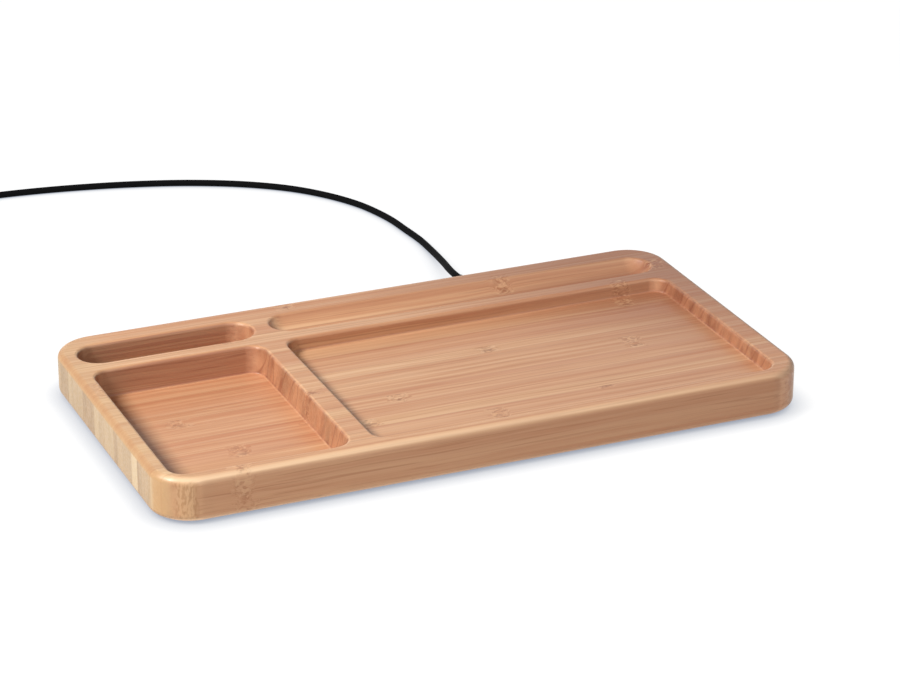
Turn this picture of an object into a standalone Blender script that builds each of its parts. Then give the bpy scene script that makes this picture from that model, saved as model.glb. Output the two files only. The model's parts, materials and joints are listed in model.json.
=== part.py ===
"""Bamboo desk tray with a wireless charger under its large pocket, and its detachable lead.

Metres, +Z up. The origin is on the desk, under the middle of the tray, +X along the tray and +Y to its back.
"""

from math import cos, pi, sin, sqrt, tau

import bmesh
import bpy
import numpy as np
from mathutils import Vector

# Tray: the milled bamboo plank
TRAY_LENGTH = 0.270
TRAY_WIDTH = 0.145
TRAY_HEIGHT = 0.018
TRAY_CORNER = 0.017
TRAY_EDGE = 0.003
TRAY_CORNER_STEPS = 12
SIDE_MARGIN = 0.007
RIGHT_MARGIN = 0.011
FRONT_MARGIN = 0.0065
BACK_MARGIN = 0.0115
ROW_DIVIDER = 0.0075
ROW_WIDTH = 0.018
SLOT_DIVIDER = 0.0075
GROOVE_END_MARGIN = 0.009
WELL_LENGTH = 0.071
WELL_DIVIDER = 0.010
WELL_DEPTH = 0.012
CHARGE_DEPTH = 0.006
SLOT_DEPTH = 0.013
GROOVE_DEPTH = 0.005
POCKET_CORNER = 0.007
POCKET_FILLET = 0.001
RIM_ROUND = 0.0014
POCKET_CORNER_STEPS = 7
ROUND_STEPS = 3

# Clearance between pieces, how far a cutter runs past what it cuts, and how deep a joined piece is sunk
SEAT_GAP = 0.0003
OVERRUN = 0.004
WELD_OVERLAP = 0.0005
SMOOTH_ANGLE = pi / 6

# Feet: rubber discs set into the underside
FOOT_RADIUS = 0.006
FOOT_HEIGHT = 0.0022
FOOT_STAND = 0.001
FOOT_EDGE = 0.0004
FOOT_INSET = 0.016
FOOT_SIDES = 24
FOOT_EDGE_STEPS = 2

# Bottom cover and its screws
COVER_THICKNESS = 0.002
COVER_CORNER = 0.006
COVER_EDGE = 0.0004
COVER_BACK_MARGIN = 0.0035
SCREW_EDGE = 0.002
SCREW_WALL = 0.0024
SCREW_HEAD_RADIUS = 0.0025
SCREW_SHANK_RADIUS = 0.0011
SCREW_HEAD_DEPTH = 0.0014
SCREW_LENGTH = 0.007
SCREW_TIP = 0.0016
SCREW_TIP_RADIUS = 0.0003
SCREW_SIDES = 16

# Charging module: each layer's thickness and margin, from the wood down to the cover
PAD_THICKNESS = 0.0006
PAD_MARGIN = 0.001
WIRE_RADIUS = 0.0005
WIRE_GAP = 0.0005
WINDING_INNER = 0.010
WINDING_TURNS = 8
WINDING_LOOP_POINTS = 24
LEAD_STEPS = 3
SHIELD_THICKNESS = 0.0008
SHIELD_MARGIN = 0.0025
LEAD_BORE = 0.0025
LEAD_CLEAR = 0.0011
LEAD_ROOM = 0.0019
CARRIER_THICKNESS = 0.0012
CARRIER_CLEAR = 0.001
CARRIER_WALL = 0.0015
CARRIER_POST_SHARE = 0.8
COIL_POCKET_CLEAR = 0.002
DISC_SIDES = 48

# Circuit board and what is soldered to it
BOARD_WIDTH = 0.034
BOARD_LENGTH = 0.044
BOARD_THICKNESS = 0.0012
BOARD_CORNER = 0.001
BOARD_BACK_CLEAR = 0.0005
BOARD_ROOM = 0.0011
BOARD_POCKET_CLEAR = 0.002
BOARD_POCKET_CORNER = 0.003
POCKET_OVERLAP = 0.014
POST_RADIUS = 0.0018
PEG_RADIUS = 0.0009
PEG_INSET = 0.0035
PEG_HEIGHT = 0.0007
PEG_SIDES = 12
CHIP_BEVEL_SHARE = 0.12
CONTROLLER_SIZE = (0.007, 0.007, 0.0009)
BRIDGE_SIZE = (0.005, 0.006, 0.0011)
RESONANCE_SIZE = (0.0032, 0.0045, 0.0020)
INPUT_CAPACITOR_SIZE = (0.0016, 0.0032, 0.0014)
INDUCTOR_SIZE = (0.0068, 0.0068, 0.0026)
INDUCTOR_CORNER_SHARE = 0.35
CHIP_CORNER_SHARE = 0.04

# Socket in the tray's back, and the lead's plug in it
PORT_OFFSET = 0.0165
NOTCH_WALL = 0.0065
NOTCH_CLEAR = 0.0007
SOCKET_WIDTH = 0.0081
SOCKET_HEIGHT = 0.0030
SOCKET_LENGTH = 0.0066
SOCKET_PROUD = 0.0006
SHEET = 0.0003
TONGUE_CLEAR = 0.00065
TONGUE_THICKNESS = 0.0006
TONGUE_SETBACK = 0.0008
TONGUE_BASE = 0.0010
PLUG_FIT = 0.0003
GRIP_STANDOFF = 0.0008
GRIP_WIDTH = 0.0106
GRIP_HEIGHT = 0.0070
GRIP_LENGTH = 0.0161
GRIP_CORNER = 0.0022
RELIEF_LENGTH = 0.0085
RELIEF_RADIUS = 0.0026
RELIEF_LIP = 0.0004
RELIEF_GROOVE = 0.0003
RELIEF_RIBS = 5
RELIEF_SIDES = 16
MOUTH_CUT_SHARE = 0.28

# Lead: round cord, a flat-lying coil of the spare length, and the plug at its far end
CORD_RADIUS = 0.0015
CORD_POINTS = 78
CORD_STEPS = 12
COIL_CENTRE = (-0.137, 0.262)
COIL_OUTER = 0.0224
COIL_GAP = 0.0005
COIL_LOWER_TURNS = 3
COIL_UPPER_TURNS = 2.75
COIL_LOOP_POINTS = 24
COIL_CLIMB_DRAW = 0.0012
COIL_LEAD_IN = 0.009
COIL_TAIL = 0.020
COIL_TAIL_POINTS = 8
COIL_TAIL_FALL_SHARES = (0.55, 0.86)
TIE_WIDTH = 0.005
TIE_THICKNESS = 0.0008
TIE_SLACK = 0.0006
TIE_CORNER = 0.0015
TIE_RISE_ANGLE = 0.5
USB_GRIP_WIDTH = 0.0160
USB_GRIP_HEIGHT = 0.0080
USB_GRIP_LENGTH = 0.0240
USB_GRIP_CORNER = 0.0026
USB_RELIEF_LENGTH = 0.0100
USB_SHELL_WIDTH = 0.0120
USB_SHELL_HEIGHT = 0.0045
USB_SHELL_LENGTH = 0.0120
USB_SHELL_CORNER = 0.0005
USB_TONGUE_THICKNESS = 0.0018
USB_TONGUE_SETBACK = 0.0008

# Route of the cord's free stretch, from the plug's strain relief to the coil, at its centre line
CORD_ROUTE = [
    (0.0550, 0.0970, 0.0077),
    (0.0562, 0.1060, 0.0066),
    (0.0586, 0.1175, 0.0048),
    (0.0606, 0.1290, 0.0032),
    (0.0619, 0.1400, 0.0022),
    (0.0626, 0.1550, 0.0016),
    (0.0614, 0.1702, 0.0015),
    (0.0604, 0.1811, 0.0015),
    (0.0587, 0.1903, 0.0015),
    (0.0540, 0.2060, 0.0015),
    (0.0455, 0.2220, 0.0015),
    (0.0325, 0.2380, 0.0015),
    (0.0145, 0.2520, 0.0015),
    (-0.0085, 0.2640, 0.0015),
    (-0.0345, 0.2730, 0.0015),
    (-0.0620, 0.2794, 0.0015),
    (-0.0880, 0.2831, 0.0015),
    (-0.1080, 0.2842, 0.0015),
]

# Places worked out from the sizes above
BOTTOM = FOOT_STAND
TOP = BOTTOM + TRAY_HEIGHT
BACK_FACE = TRAY_WIDTH / 2
LEFT_RIM = SIDE_MARGIN - TRAY_LENGTH / 2
WELL_RIGHT = LEFT_RIM + WELL_LENGTH
CHARGE_LEFT = WELL_RIGHT + WELL_DIVIDER
CHARGE_RIGHT = TRAY_LENGTH / 2 - RIGHT_MARGIN
GROOVE_RIGHT = TRAY_LENGTH / 2 - GROOVE_END_MARGIN
SLOT_RIGHT = CHARGE_LEFT - SLOT_DIVIDER
FRONT_RIM = FRONT_MARGIN - TRAY_WIDTH / 2
ROW_BACK = BACK_FACE - BACK_MARGIN
ROW_FRONT = ROW_BACK - ROW_WIDTH
POCKET_BACK = ROW_FRONT - ROW_DIVIDER
MODULE_X = (CHARGE_LEFT + CHARGE_RIGHT) / 2
MODULE_Y = (FRONT_RIM + POCKET_BACK) / 2

WINDING_PITCH = 2 * WIRE_RADIUS + WIRE_GAP
WINDING_OUTER = WINDING_INNER + WINDING_PITCH * WINDING_TURNS
PAD_BORE = WINDING_INNER - PAD_MARGIN
PAD_RADIUS = WINDING_OUTER + WIRE_RADIUS + PAD_MARGIN
SHIELD_RADIUS = WINDING_OUTER + SHIELD_MARGIN
CARRIER_INNER = SHIELD_RADIUS + CARRIER_CLEAR
CARRIER_RADIUS = CARRIER_INNER + CARRIER_WALL

COVER_TOP = BOTTOM + COVER_THICKNESS
RECESS_ROOF = COVER_TOP + SEAT_GAP
BOARD_BASE = COVER_TOP + LEAD_ROOM
BOARD_TOP = BOARD_BASE + BOARD_THICKNESS
BOARD_ROOF = BOARD_TOP + SEAT_GAP + max(SOCKET_HEIGHT, INDUCTOR_SIZE[2]) + BOARD_ROOM
LEAD_Z = BOARD_BASE - SEAT_GAP - WIRE_RADIUS
CARRIER_BASE = BOARD_BASE + SEAT_GAP
CARRIER_PLATE = CARRIER_BASE + CARRIER_THICKNESS
SHIELD_BASE = CARRIER_PLATE + SEAT_GAP
WINDING_Z = SHIELD_BASE + SHIELD_THICKNESS + SEAT_GAP + WIRE_RADIUS
PAD_BASE = WINDING_Z + WIRE_RADIUS + SEAT_GAP
COIL_ROOF = PAD_BASE + PAD_THICKNESS + SEAT_GAP
COIL_POCKET_RADIUS = CARRIER_RADIUS + COIL_POCKET_CLEAR

PORT_X = MODULE_X + PORT_OFFSET
PORT_Z = BOARD_TOP + SEAT_GAP + SOCKET_HEIGHT / 2
BOARD_POCKET_LEFT = PORT_X - BOARD_WIDTH / 2 - BOARD_POCKET_CLEAR
BOARD_POCKET_RIGHT = PORT_X + BOARD_WIDTH / 2 + BOARD_POCKET_CLEAR
BOARD_POCKET_FRONT = MODULE_Y + COIL_POCKET_RADIUS - POCKET_OVERLAP
BOARD_POCKET_BACK = BACK_FACE - NOTCH_WALL
BOARD_BACK = BOARD_POCKET_BACK - BOARD_BACK_CLEAR
BOARD_FRONT = BOARD_BACK - BOARD_LENGTH
SOCKET_MOUTH = BOARD_BACK + SOCKET_PROUD

SCREW_INSET = SCREW_HEAD_RADIUS + SCREW_EDGE
COVER_LIP = SCREW_INSET + SCREW_SHANK_RADIUS + SCREW_WALL
COVER_LEFT = min(MODULE_X - COIL_POCKET_RADIUS, BOARD_POCKET_LEFT) - COVER_LIP
COVER_RIGHT = max(MODULE_X + COIL_POCKET_RADIUS, BOARD_POCKET_RIGHT) + COVER_LIP
COVER_FRONT = MODULE_Y - COIL_POCKET_RADIUS - COVER_LIP
COVER_BACK = BACK_FACE - COVER_BACK_MARGIN

PLUG_WIDTH = SOCKET_WIDTH - 2 * (SHEET + PLUG_FIT)
PLUG_HEIGHT = SOCKET_HEIGHT - 2 * (SHEET + PLUG_FIT)
PLUG_INSERTION = SOCKET_LENGTH - SHEET - TONGUE_BASE - 2 * SEAT_GAP
TONGUE_WIDTH = PLUG_WIDTH - 2 * (SHEET + TONGUE_CLEAR)
GRIP_FRONT = SOCKET_MOUTH + GRIP_STANDOFF
GRIP_BACK = GRIP_FRONT + GRIP_LENGTH
RELIEF_FRONT = GRIP_BACK + SEAT_GAP
RELIEF_BACK = RELIEF_FRONT + RELIEF_LENGTH
CORD_START = RELIEF_BACK + SEAT_GAP
COIL_PITCH = 2 * CORD_RADIUS + COIL_GAP
COIL_INNER = COIL_OUTER - COIL_PITCH * COIL_LOWER_TURNS
COIL_END_RADIUS = COIL_INNER + COIL_PITCH * COIL_UPPER_TURNS
TIE_LIFT = TIE_THICKNESS + SEAT_GAP
CORD_END_X = COIL_CENTRE[0] + COIL_LEAD_IN
USB_X = COIL_CENTRE[0] - COIL_END_RADIUS
USB_Z = USB_GRIP_HEIGHT / 2
USB_RELIEF_FRONT = COIL_CENTRE[1] - COIL_TAIL - SEAT_GAP - USB_RELIEF_LENGTH
USB_GRIP_FRONT = USB_RELIEF_FRONT - SEAT_GAP - USB_GRIP_LENGTH
USB_SHELL_BACK = USB_GRIP_FRONT - SEAT_GAP


def clear_scene():
    for obj in list(bpy.data.objects):
        bpy.data.objects.remove(obj, do_unlink=True)


def linear(channel):
    """One sRGB channel, 0 to 1, as linear light."""
    return channel / 12.92 if channel <= 0.04045 else ((channel + 0.055) / 1.055) ** 2.4


def material(name, hex_colour, roughness, metallic=0.0):
    made = bpy.data.materials.new(name)
    made.use_nodes = True
    rgb = [linear(int(hex_colour[i : i + 2], 16) / 255) for i in (1, 3, 5)]
    shader = made.node_tree.nodes["Principled BSDF"]
    shader.inputs["Base Color"].default_value = (*rgb, 1)
    shader.inputs["Roughness"].default_value = roughness
    shader.inputs["Metallic"].default_value = metallic
    made.diffuse_color = (*rgb, 1)
    return made


def empty(name, at):
    made = bpy.data.objects.new(name, None)
    made.location = at
    bpy.context.scene.collection.objects.link(made)
    return made


def put(obj, parent, at=(0, 0, 0)):
    """Links an object, places it at a point of the world and hangs it on its parent."""
    bpy.context.scene.collection.objects.link(obj)
    obj.parent = parent
    obj.location = Vector(at) - parent.location
    return obj


def surface(name, rings, closed=False):
    """A mesh that joins rings of points, each to the next. Its ends are capped, or joined when closed."""
    sides = len(rings[0])
    shape = bmesh.new()
    loops = [[shape.verts.new(point) for point in ring] for ring in rings]
    pairs = list(zip(loops, loops[1:]))
    if closed:
        pairs.append((loops[-1], loops[0]))
    for lower, upper in pairs:
        for i in range(sides):
            j = (i + 1) % sides
            shape.faces.new((lower[i], lower[j], upper[j], upper[i]))
    if not closed:
        shape.faces.new(loops[0])
        shape.faces.new(loops[-1])
    bmesh.ops.recalc_face_normals(shape, faces=shape.faces)
    mesh = bpy.data.meshes.new(name)
    shape.to_mesh(mesh)
    shape.free()
    mesh.shade_smooth()
    mesh.set_sharp_from_angle(angle=SMOOTH_ANGLE)
    return mesh


def solid(name, rings, parent, finish, at=(0, 0, 0), closed=False):
    mesh = surface(name, rings, closed)
    mesh.materials.append(finish)
    return put(bpy.data.objects.new(name, mesh), parent, at)


def helper(name, rings, parent, at=(0, 0, 0)):
    """A shape for a Boolean, which isn't a piece."""
    made = put(bpy.data.objects.new(name, surface(name, rings)), parent, at)
    made.hide_render = True
    made.display_type = "WIRE"
    return made


def combine(target, other, operation):
    boolean = target.modifiers.new(other.name, "BOOLEAN")
    boolean.operation = operation
    boolean.solver = "EXACT"
    boolean.object = other


def rounded_outline(half_x, half_y, radius, steps):
    """A rectangle with round corners, counter-clockwise, as points in its own plane."""
    radius = min(radius, half_x, half_y)
    middles = (
        (half_x - radius, half_y - radius),
        (radius - half_x, half_y - radius),
        (radius - half_x, radius - half_y),
        (half_x - radius, radius - half_y),
    )
    return [
        (x + radius * cos(angle), y + radius * sin(angle))
        for quarter, (x, y) in enumerate(middles)
        for angle in (pi / 2 * (quarter + step / steps) for step in range(steps + 1))
    ]


def level(outline, z, at=(0, 0)):
    """An outline laid flat at a height."""
    return [(x + at[0], y + at[1], z) for x, y in outline]


def upright(outline, y, at=(0, 0)):
    """An outline stood across the Y axis, its second direction upwards."""
    return [(x + at[0], y, z + at[1]) for x, z in outline]


def circle(radius, sides):
    return [(radius * cos(tau * i / sides), radius * sin(tau * i / sides)) for i in range(sides)]


def turned(steps, sides):
    """A profile of radii and heights, turned about the Z axis."""
    return [level(circle(radius, sides), z) for radius, z in steps]


def edge_round(radius, steps=ROUND_STEPS):
    """A quarter round from a plate's face to its side: how far in and how far up each point of it lies."""
    angles = [pi / 2 * i / steps for i in range(steps + 1)]
    return [(radius * (1 - sin(a)), radius * (1 - cos(a))) for a in angles]


def plate_profile(low, high, edge):
    """How far each height of a plate with rounded edges lies inside its outline."""
    quarter = edge_round(edge)
    lower = [(inset, low + rise) for inset, rise in quarter]
    upper = [(inset, high - rise) for inset, rise in reversed(quarter)]
    return lower + upper


def plate_rings(half_x, half_y, corner, profile, corner_steps, at=(0, 0)):
    return [
        level(rounded_outline(half_x - inset, half_y - inset, corner - inset, corner_steps), z, at)
        for inset, z in profile
    ]


def rim_profile(start_angle, start_inset):
    """The wood's rounded rim round a pocket, as a cutter sees it, and up past the top."""
    centre = start_inset - RIM_ROUND * cos(start_angle)
    angles = [start_angle + (pi / 2 - start_angle) * i / ROUND_STEPS for i in range(ROUND_STEPS + 1)]
    rim = [(centre + RIM_ROUND * cos(a), TOP - RIM_ROUND * (1 - sin(a))) for a in angles]
    return rim + [(rim[-1][0], TOP + OVERRUN)]


def pocket_profile(depth):
    """A straight-walled pocket with a small radius round its floor."""
    fillet = [(inset, TOP - depth + rise) for inset, rise in edge_round(POCKET_FILLET)]
    return fillet + rim_profile(0, 0)


def groove_profile():
    """The long groove: an arc across it, from a narrow flat along its bottom to its rounded rim."""
    half = ROW_WIDTH / 2
    arc = (half**2 + GROOVE_DEPTH**2) / (2 * GROOVE_DEPTH)
    lean = pi / 2 - np.arcsin(half / arc)
    rim_height = GROOVE_DEPTH - RIM_ROUND * (1 - sin(lean))
    height_shares = (0.015, 0.07, 0.18, 0.36, 0.62)
    heights = [share * GROOVE_DEPTH for share in height_shares] + [rim_height]
    arc_points = [(half - sqrt(arc**2 - (arc - h) ** 2), TOP - GROOVE_DEPTH + h) for h in heights]
    return arc_points[:-1] + rim_profile(lean, arc_points[-1][0])


def pocket_cutter(name, x_range, y_range, corner, profile, parent):
    half_x = (x_range[1] - x_range[0]) / 2
    half_y = (y_range[1] - y_range[0]) / 2
    middle = ((x_range[0] + x_range[1]) / 2, (y_range[0] + y_range[1]) / 2)
    rings = plate_rings(half_x, half_y, corner, profile, POCKET_CORNER_STEPS, middle)
    return helper(name, rings, parent)


def foot_places():
    x = TRAY_LENGTH / 2 - FOOT_INSET
    y = TRAY_WIDTH / 2 - FOOT_INSET
    return {
        "foot_front_left": (-x, -y),
        "foot_front_right": (x, -y),
        "foot_back_left": (-x, y),
        "foot_back_right": (x, y),
    }


def screw_places():
    columns = (COVER_LEFT + SCREW_INSET, COVER_RIGHT - SCREW_INSET)
    rows = (COVER_FRONT + SCREW_INSET, COVER_BACK - SCREW_INSET)
    return [(x, y) for y in rows for x in columns]


def board_peg_places():
    aside = BOARD_WIDTH / 2 - PEG_INSET
    rows = (BOARD_FRONT + PEG_INSET, BOARD_BACK - PEG_INSET)
    return [(x, y) for y in rows for x in (PORT_X - aside, PORT_X + aside)]


def carrier_post_places():
    radius = CARRIER_RADIUS * CARRIER_POST_SHARE
    angles = [pi / 4 + pi / 2 * i for i in range(4)]
    return [(MODULE_X + radius * cos(a), MODULE_Y + radius * sin(a)) for a in angles]


def hole_cutter(name, radius, low, high, place, parent, sides=PEG_SIDES):
    return helper(name, turned([(radius, low), (radius, high)], sides), parent, (*place, 0))


def cover_rings(profile):
    """The bottom cover's outline at each height, drawn in as its profile says."""
    half_x = (COVER_RIGHT - COVER_LEFT) / 2
    half_y = (COVER_BACK - COVER_FRONT) / 2
    middle = ((COVER_LEFT + COVER_RIGHT) / 2, (COVER_FRONT + COVER_BACK) / 2)
    return plate_rings(half_x, half_y, COVER_CORNER, profile, POCKET_CORNER_STEPS, middle)


def make_tray_body(frame, finish):
    profile = plate_profile(BOTTOM, TOP, TRAY_EDGE)
    rings = plate_rings(TRAY_LENGTH / 2, TRAY_WIDTH / 2, TRAY_CORNER, profile, TRAY_CORNER_STEPS)
    body = solid("tray_body", rings, frame, finish)
    front_y = (FRONT_RIM, POCKET_BACK)
    row_y = (ROW_FRONT, ROW_BACK)
    row_corner = ROW_WIDTH / 2
    below = BOTTOM - OVERRUN
    well = pocket_profile(WELL_DEPTH)
    charge = pocket_profile(CHARGE_DEPTH)
    slot = pocket_profile(SLOT_DEPTH)
    groove = groove_profile()
    recess = cover_rings([(-SEAT_GAP, below), (-SEAT_GAP, RECESS_ROOF)])
    module = (MODULE_X, MODULE_Y)
    cutters = [
        pocket_cutter("well_cut", (LEFT_RIM, WELL_RIGHT), front_y, POCKET_CORNER, well, frame),
        pocket_cutter("charge_cut", (CHARGE_LEFT, CHARGE_RIGHT), front_y, POCKET_CORNER, charge, frame),
        pocket_cutter("slot_cut", (LEFT_RIM, SLOT_RIGHT), row_y, row_corner, slot, frame),
        pocket_cutter("groove_cut", (CHARGE_LEFT, GROOVE_RIGHT), row_y, row_corner, groove, frame),
        helper("cover_recess_cut", recess, frame),
        hole_cutter("coil_cut", COIL_POCKET_RADIUS, below, COIL_ROOF, module, frame, DISC_SIDES),
        board_pocket_cutter(below, frame),
        notch_cutter(below, frame),
    ]
    foot_roof = FOOT_HEIGHT + SEAT_GAP
    for name, place in foot_places().items():
        cut_radius = FOOT_RADIUS + SEAT_GAP
        cutters.append(hole_cutter(name + "_cut", cut_radius, below, foot_roof, place, frame, FOOT_SIDES))
    for number, place in enumerate(screw_places(), 1):
        pilot = SCREW_SHANK_RADIUS + SEAT_GAP
        pilot_roof = BOTTOM + SCREW_LENGTH + SEAT_GAP
        cutters.append(hole_cutter(f"pilot_{number}_cut", pilot, below, pilot_roof, place, frame))
    for cutter in cutters:
        combine(body, cutter, "DIFFERENCE")


def board_pocket_cutter(below, frame):
    half_x = (BOARD_POCKET_RIGHT - BOARD_POCKET_LEFT) / 2
    half_y = (BOARD_POCKET_BACK - BOARD_POCKET_FRONT) / 2
    outline = rounded_outline(half_x, half_y, BOARD_POCKET_CORNER, ROUND_STEPS)
    middle = (PORT_X, (BOARD_POCKET_BACK + BOARD_POCKET_FRONT) / 2)
    return helper("board_cut", [level(outline, z, middle) for z in (below, BOARD_ROOF)], frame)


def notch_cutter(below, frame):
    """The arch through the back wall, open to the underside, that the plug's grip stands in."""
    roof = PORT_Z + GRIP_HEIGHT / 2 + NOTCH_CLEAR
    half_x = GRIP_WIDTH / 2 + NOTCH_CLEAR
    outline = rounded_outline(half_x, (roof - below) / 2, GRIP_CORNER + NOTCH_CLEAR, ROUND_STEPS)
    middle = (PORT_X, (roof + below) / 2)
    ends = (BOARD_POCKET_BACK - BOARD_POCKET_CORNER, BACK_FACE + OVERRUN)
    return helper("notch_cut", [upright(outline, y, middle) for y in ends], frame)


def make_feet(frame, finish):
    lower_edge = [(FOOT_RADIUS - inset, z) for inset, z in edge_round(FOOT_EDGE, FOOT_EDGE_STEPS)]
    mesh = surface("foot", turned([*lower_edge, (FOOT_RADIUS, FOOT_HEIGHT)], FOOT_SIDES))
    mesh.materials.append(finish)
    for name, place in foot_places().items():
        put(bpy.data.objects.new(name, mesh), frame, (*place, 0))


def make_bottom_cover(frame, finish):
    """A moulded plate, flush in the underside, whose posts carry the board and the winding's carrier."""
    profile = [(COVER_EDGE, BOTTOM), (0, BOTTOM + COVER_EDGE), (0, COVER_TOP)]
    cover = solid("bottom_cover", cover_rings(profile), frame, finish)
    low = COVER_TOP - WELD_OVERLAP
    carrier_post = [(POST_RADIUS, low), (POST_RADIUS, CARRIER_BASE - SEAT_GAP)]
    board_post = [
        (POST_RADIUS, low),
        (POST_RADIUS, BOARD_BASE - SEAT_GAP),
        (PEG_RADIUS, BOARD_BASE - SEAT_GAP),
        (PEG_RADIUS, BOARD_TOP + PEG_HEIGHT),
    ]
    head = SCREW_HEAD_RADIUS + SEAT_GAP
    shank = SCREW_SHANK_RADIUS + SEAT_GAP
    countersink = [
        (head, BOTTOM - OVERRUN),
        (head, BOTTOM),
        (shank, BOTTOM + SCREW_HEAD_DEPTH),
        (shank, COVER_TOP + OVERRUN),
    ]
    kinds = (
        ("carrier_post", carrier_post, PEG_SIDES, carrier_post_places(), "UNION"),
        ("board_post", board_post, PEG_SIDES, board_peg_places(), "UNION"),
        ("countersink", countersink, SCREW_SIDES, screw_places(), "DIFFERENCE"),
    )
    for name, steps, sides, places, operation in kinds:
        for number, place in enumerate(places, 1):
            shape = helper(f"{name}_{number}", turned(steps, sides), frame, (*place, 0))
            combine(cover, shape, operation)


def make_screws(frame, finish):
    shank_end = BOTTOM + SCREW_LENGTH - SCREW_TIP
    steps = [
        (SCREW_HEAD_RADIUS, BOTTOM),
        (SCREW_SHANK_RADIUS, BOTTOM + SCREW_HEAD_DEPTH),
        (SCREW_SHANK_RADIUS, shank_end),
        (SCREW_TIP_RADIUS, BOTTOM + SCREW_LENGTH),
    ]
    mesh = surface("cover_screw", turned(steps, SCREW_SIDES))
    mesh.materials.append(finish)
    for number, place in enumerate(screw_places(), 1):
        put(bpy.data.objects.new(f"cover_screw_{number}", mesh), frame, (*place, 0))


def washer_rings(bore, radius, low, high):
    return turned([(bore, low), (radius, low), (radius, high), (bore, high)], DISC_SIDES)


def make_winding_stack(frame, foam, ferrite, plastic):
    """Foam pad, shield and carrier, one under the other below the wood."""
    at = (MODULE_X, MODULE_Y, 0)
    pad = washer_rings(PAD_BORE, PAD_RADIUS, PAD_BASE, PAD_BASE + PAD_THICKNESS)
    solid("coil_pad", pad, frame, foam, at, closed=True)
    shield = washer_rings(LEAD_BORE, SHIELD_RADIUS, SHIELD_BASE, SHIELD_BASE + SHIELD_THICKNESS)
    solid("ferrite_shield", shield, frame, ferrite, at, closed=True)
    dish = [
        (LEAD_BORE, CARRIER_BASE),
        (CARRIER_RADIUS, CARRIER_BASE),
        (CARRIER_RADIUS, PAD_BASE),
        (CARRIER_INNER, PAD_BASE),
        (CARRIER_INNER, CARRIER_PLATE),
        (LEAD_BORE, CARRIER_PLATE),
    ]
    carrier = solid("coil_carrier", turned(dish, DISC_SIDES), frame, plastic, at, closed=True)
    half_notch = WIRE_RADIUS + LEAD_CLEAR
    notch = rounded_outline(half_notch, CARRIER_RADIUS / 2, 0, 1)
    place = (WINDING_OUTER, CARRIER_RADIUS / 2 + SEAT_GAP)
    rings = [level(notch, z, place) for z in (WINDING_Z - half_notch, PAD_BASE + OVERRUN)]
    combine(carrier, helper("carrier_notch", rings, frame, at), "DIFFERENCE")


def smooth_path(points, per_stretch):
    """A centripetal Catmull-Rom curve through points, with so many steps from each to the next."""
    points = np.asarray(points, float)
    padded = np.vstack([2 * points[0] - points[1], points, 2 * points[-1] - points[-2]])
    path = []
    for a, b, c, d in zip(padded, padded[1:], padded[2:], padded[3:]):
        t1 = sqrt(np.linalg.norm(b - a))
        t2 = t1 + sqrt(np.linalg.norm(c - b))
        t3 = t2 + sqrt(np.linalg.norm(d - c))
        for t in np.linspace(t1, t2, per_stretch, endpoint=False):
            ab = a + (b - a) * t / t1
            bc = b + (c - b) * (t - t1) / (t2 - t1)
            cd = c + (d - c) * (t - t2) / (t3 - t2)
            abc = ab + (bc - ab) * t / t2
            bcd = bc + (cd - bc) * (t - t1) / (t3 - t1)
            path.append(abc + (bcd - abc) * (t - t1) / (t2 - t1))
    path.append(points[-1])
    return np.array(path)


def even_path(path, count):
    """The same path with its points spread evenly along it."""
    lengths = np.concatenate([[0], np.cumsum(np.linalg.norm(np.diff(path, axis=0), axis=1))])
    wanted = np.linspace(0, lengths[-1], count)
    return np.stack([np.interp(wanted, lengths, path[:, axis]) for axis in range(3)], axis=1)


def least_gap(path, radius):
    """The least clear distance between a tube's stretches that aren't neighbours along it."""
    lengths = np.concatenate([[0], np.cumsum(np.linalg.norm(np.diff(path, axis=0), axis=1))])
    apart = np.linalg.norm(path[:, None] - path[None], axis=2)
    along = abs(lengths[:, None] - lengths[None])
    return apart[along > tau * radius].min() - 2 * radius


def tube(name, path, radius, roundness, parent, finish):
    curve = bpy.data.curves.new(name, "CURVE")
    curve.dimensions = "3D"
    curve.bevel_depth = radius
    curve.bevel_resolution = roundness
    curve.use_fill_caps = True
    spline = curve.splines.new("POLY")
    spline.points.add(len(path) - 1)
    for point, place in zip(spline.points, path):
        point.co = (*place, 1)
    curve.materials.append(finish)
    return put(bpy.data.objects.new(name, curve), parent)


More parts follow.
